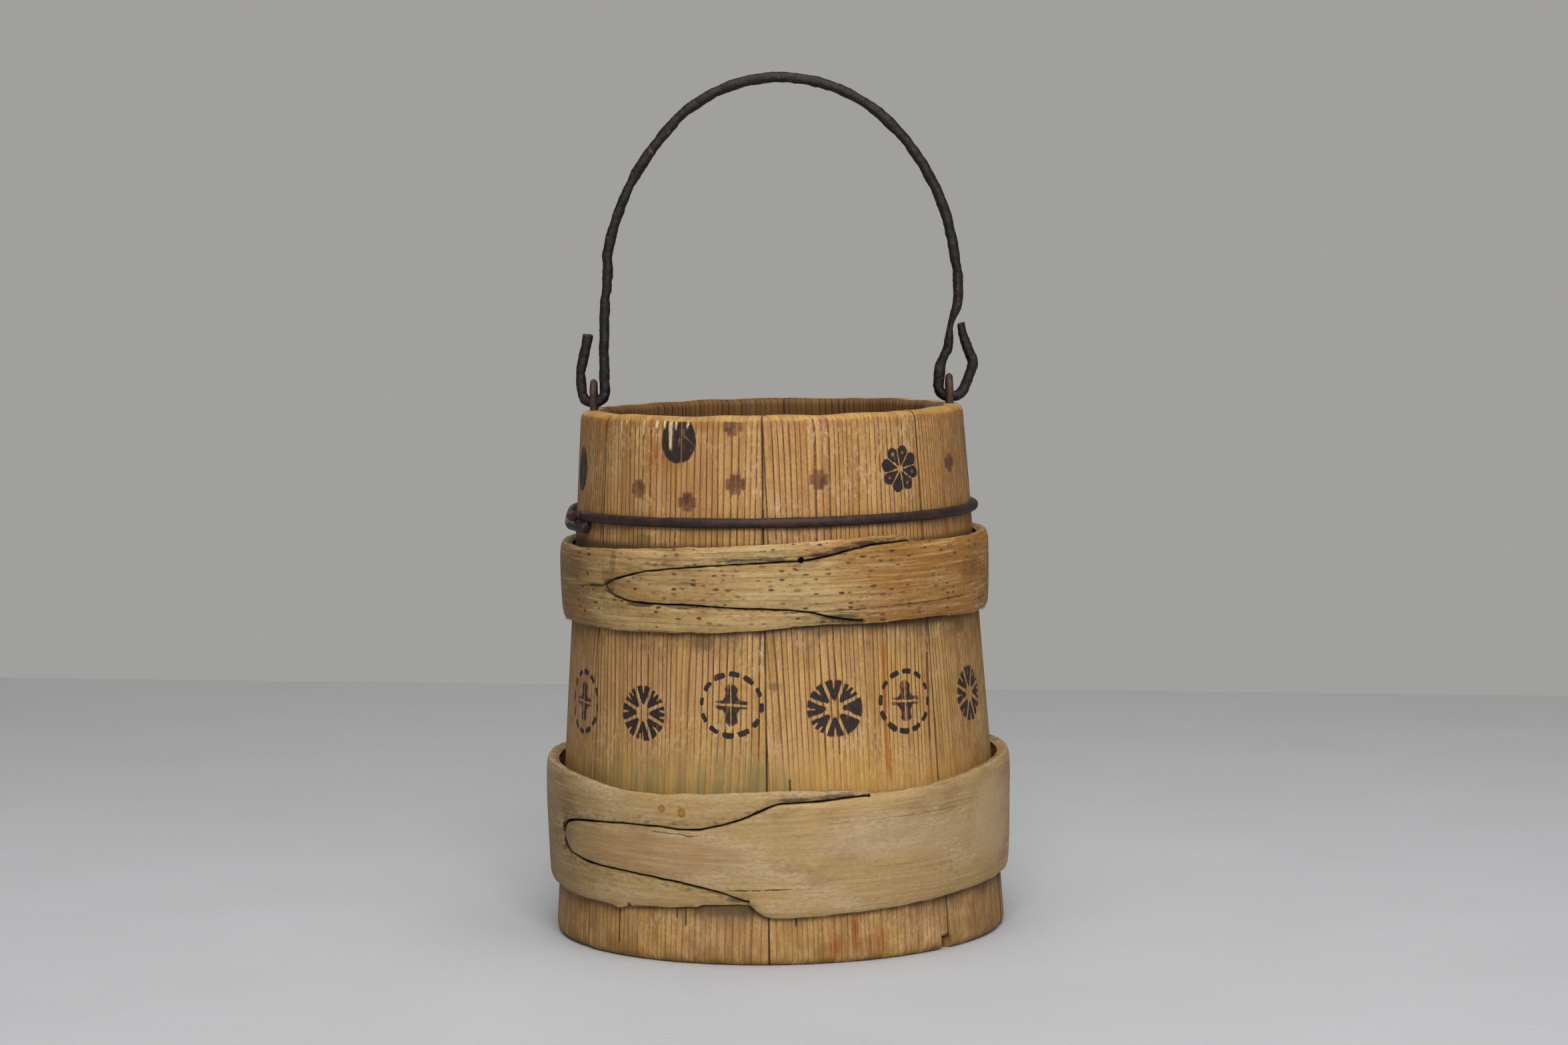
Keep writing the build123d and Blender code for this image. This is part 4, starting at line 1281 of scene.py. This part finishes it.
def floor_finish():
    """Pale unbleached cloth, darker towards the back by painted shade."""
    f = Finish("pale_cloth")
    x, y, _ = f.place()
    slow = f.clouds(x * 0.012, y * 0.012, 0.0, detail=3.0)
    fine = f.clouds(x * 0.4, y * 0.4, 0.0, detail=3.0)
    colour = f.blend(slow, tint(177, 178, 180), tint(186, 187, 190))
    # Painted shade: the cloth darkens towards the back, away from the lights.
    colour = f.blend(f.rise(y, 0.0, 700.0) * 0.4, colour, tint(156, 155, 155))
    return f.coat(colour, 0.9 - 0.1 * fine, 0.3 * fine)


WALL_GREY, ROOM_LIGHT = tint(161, 160, 157), 0.5
LIGHTS = [
    ("front_light", (0.1, -1.8, 1.45), 1.0, 35.0), ("side_light", (1.1, -1.5, 0.9), 0.8, 4.0),
    ("top_light", (0.05, -0.2, 1.7), 1.2, 14.0), ("back_light", (-0.5, 2.2, 0.8), 1.2, 5.0),
]
LIGHT_AIM = Vector((0, 0, 0.1))
FLOOR_BACK, FLOOR_SKEW, FLOOR_SIDE, FLOOR_FRONT = 0.72, -0.23, 3.0, -4.0
CAMERA_PLACE, CAMERA_LENS, CAMERA_SENSOR = (0.0039, -1.39, 0.268), 83.4, 36.0
CAMERA_DIP, CAMERA_ROLL = math.radians(4.65), math.radians(-1.0)


def set_stage():
    """The floor, the light and the camera, as in the photograph."""
    bpy.ops.object.select_all(action="DESELECT")
    bpy.ops.mesh.primitive_plane_add(size=1)
    floor = new_piece("floor")
    for vertex in floor.data.vertices:
        vertex.co.x *= 2 * FLOOR_SIDE
        vertex.co.y = FLOOR_BACK + FLOOR_SKEW * vertex.co.x if vertex.co.y > 0 else FLOOR_FRONT
    floor.data.materials.append(floor_finish().material)

    scene = bpy.context.scene
    scene.view_settings.view_transform = "Standard"
    room = Finish("studio", "worlds")
    seen = room.node("ShaderNodeLightPath", {}, {}, output="Is Camera Ray")
    dimmed = ROOM_LIGHT + (1 - ROOM_LIGHT) * seen
    wall = room.node("ShaderNodeBackground", {}, {"Color": WALL_GREY, "Strength": dimmed})
    room.node("ShaderNodeOutputWorld", {}, {"Surface": wall}, output=())
    scene.world = room.material

    for name, place, size, power in LIGHTS:
        light = bpy.data.objects.new(name, bpy.data.lights.new(name, "AREA"))
        light.data.size, light.data.energy = size, power
        scene.collection.objects.link(light)
        aim = LIGHT_AIM - Vector(place)
        light.matrix_world = Matrix.Translation(place) @ aim.to_track_quat("-Z", "Y").to_matrix().to_4x4()

    camera = bpy.data.objects.new("camera", bpy.data.cameras.new("camera"))
    camera.data.lens, camera.data.sensor_width = CAMERA_LENS, CAMERA_SENSOR
    tilt = Matrix.Rotation(math.pi / 2 - CAMERA_DIP, 4, "X") @ Matrix.Rotation(CAMERA_ROLL, 4, "Z")
    camera.matrix_world = Matrix.Translation(CAMERA_PLACE) @ tilt
    scene.collection.objects.link(camera)
    scene.camera = camera


for number in range(1, 10):
    stave(number)
UPPER_WOOD = hoop_finish(
    "upper_hoop_wood", pale=tint(180, 150, 96), warm=tint(155, 104, 38), shade=tint(96, 66, 30),
    speck=1.0, lines=1.0, dusty=0.1, crumbs=(6, 32), cracks=UPPER_CRACKS, spots=UPPER_SPOTS)
LOWER_WOOD = hoop_finish(
    "lower_hoop_wood", pale=tint(174, 143, 92), warm=tint(166, 136, 90), shade=tint(124, 96, 58),
    speck=0.2, lines=0.65, dusty=0.5, crumbs=(-6, 17), cracks=LOWER_CRACKS, spots=LOWER_SPOTS)
hoop({**UPPER_LAP, "hole": PEG_HOLE}, "wooden_upper_hoop", UPPER_WOOD,
     edge_finish("upper_hoop_edge", tint(170, 138, 86), tint(108, 78, 42)))
hoop(LOWER_LAP, "wooden_lower_hoop", LOWER_WOOD,
     edge_finish("lower_hoop_edge", tint(168, 138, 90), tint(116, 88, 50)))
BAIL_IRON = iron_finish("bail_iron", tint(17, 13, 13), tint(32, 20, 18), 0.05)
WIRE_IRON = iron_finish("wire_iron", tint(36, 24, 25), tint(60, 34, 28), 0.02)
STAPLE_IRON = iron_finish("staple_iron", tint(52, 37, 30), tint(76, 50, 34), 0.05)
forged("bail", "iron_bail", ROD_VOXEL, BAIL_LUMPS, BAIL_IRON, "bail", "bail_iron", strayed)
forged("wire_hoop", "iron_wire_hoop", ROD_VOXEL, WIRE_LUMPS, WIRE_IRON, "pail", "wire_iron")
for side in ("left", "right"):
    forged(f"staple_{side}", f"iron_staple_{side}", STAPLE_VOXEL, STAPLE_LUMPS,
           STAPLE_IRON, "pail", "staple_iron")
bottom_board()
frayed_fibres()
set_stage()
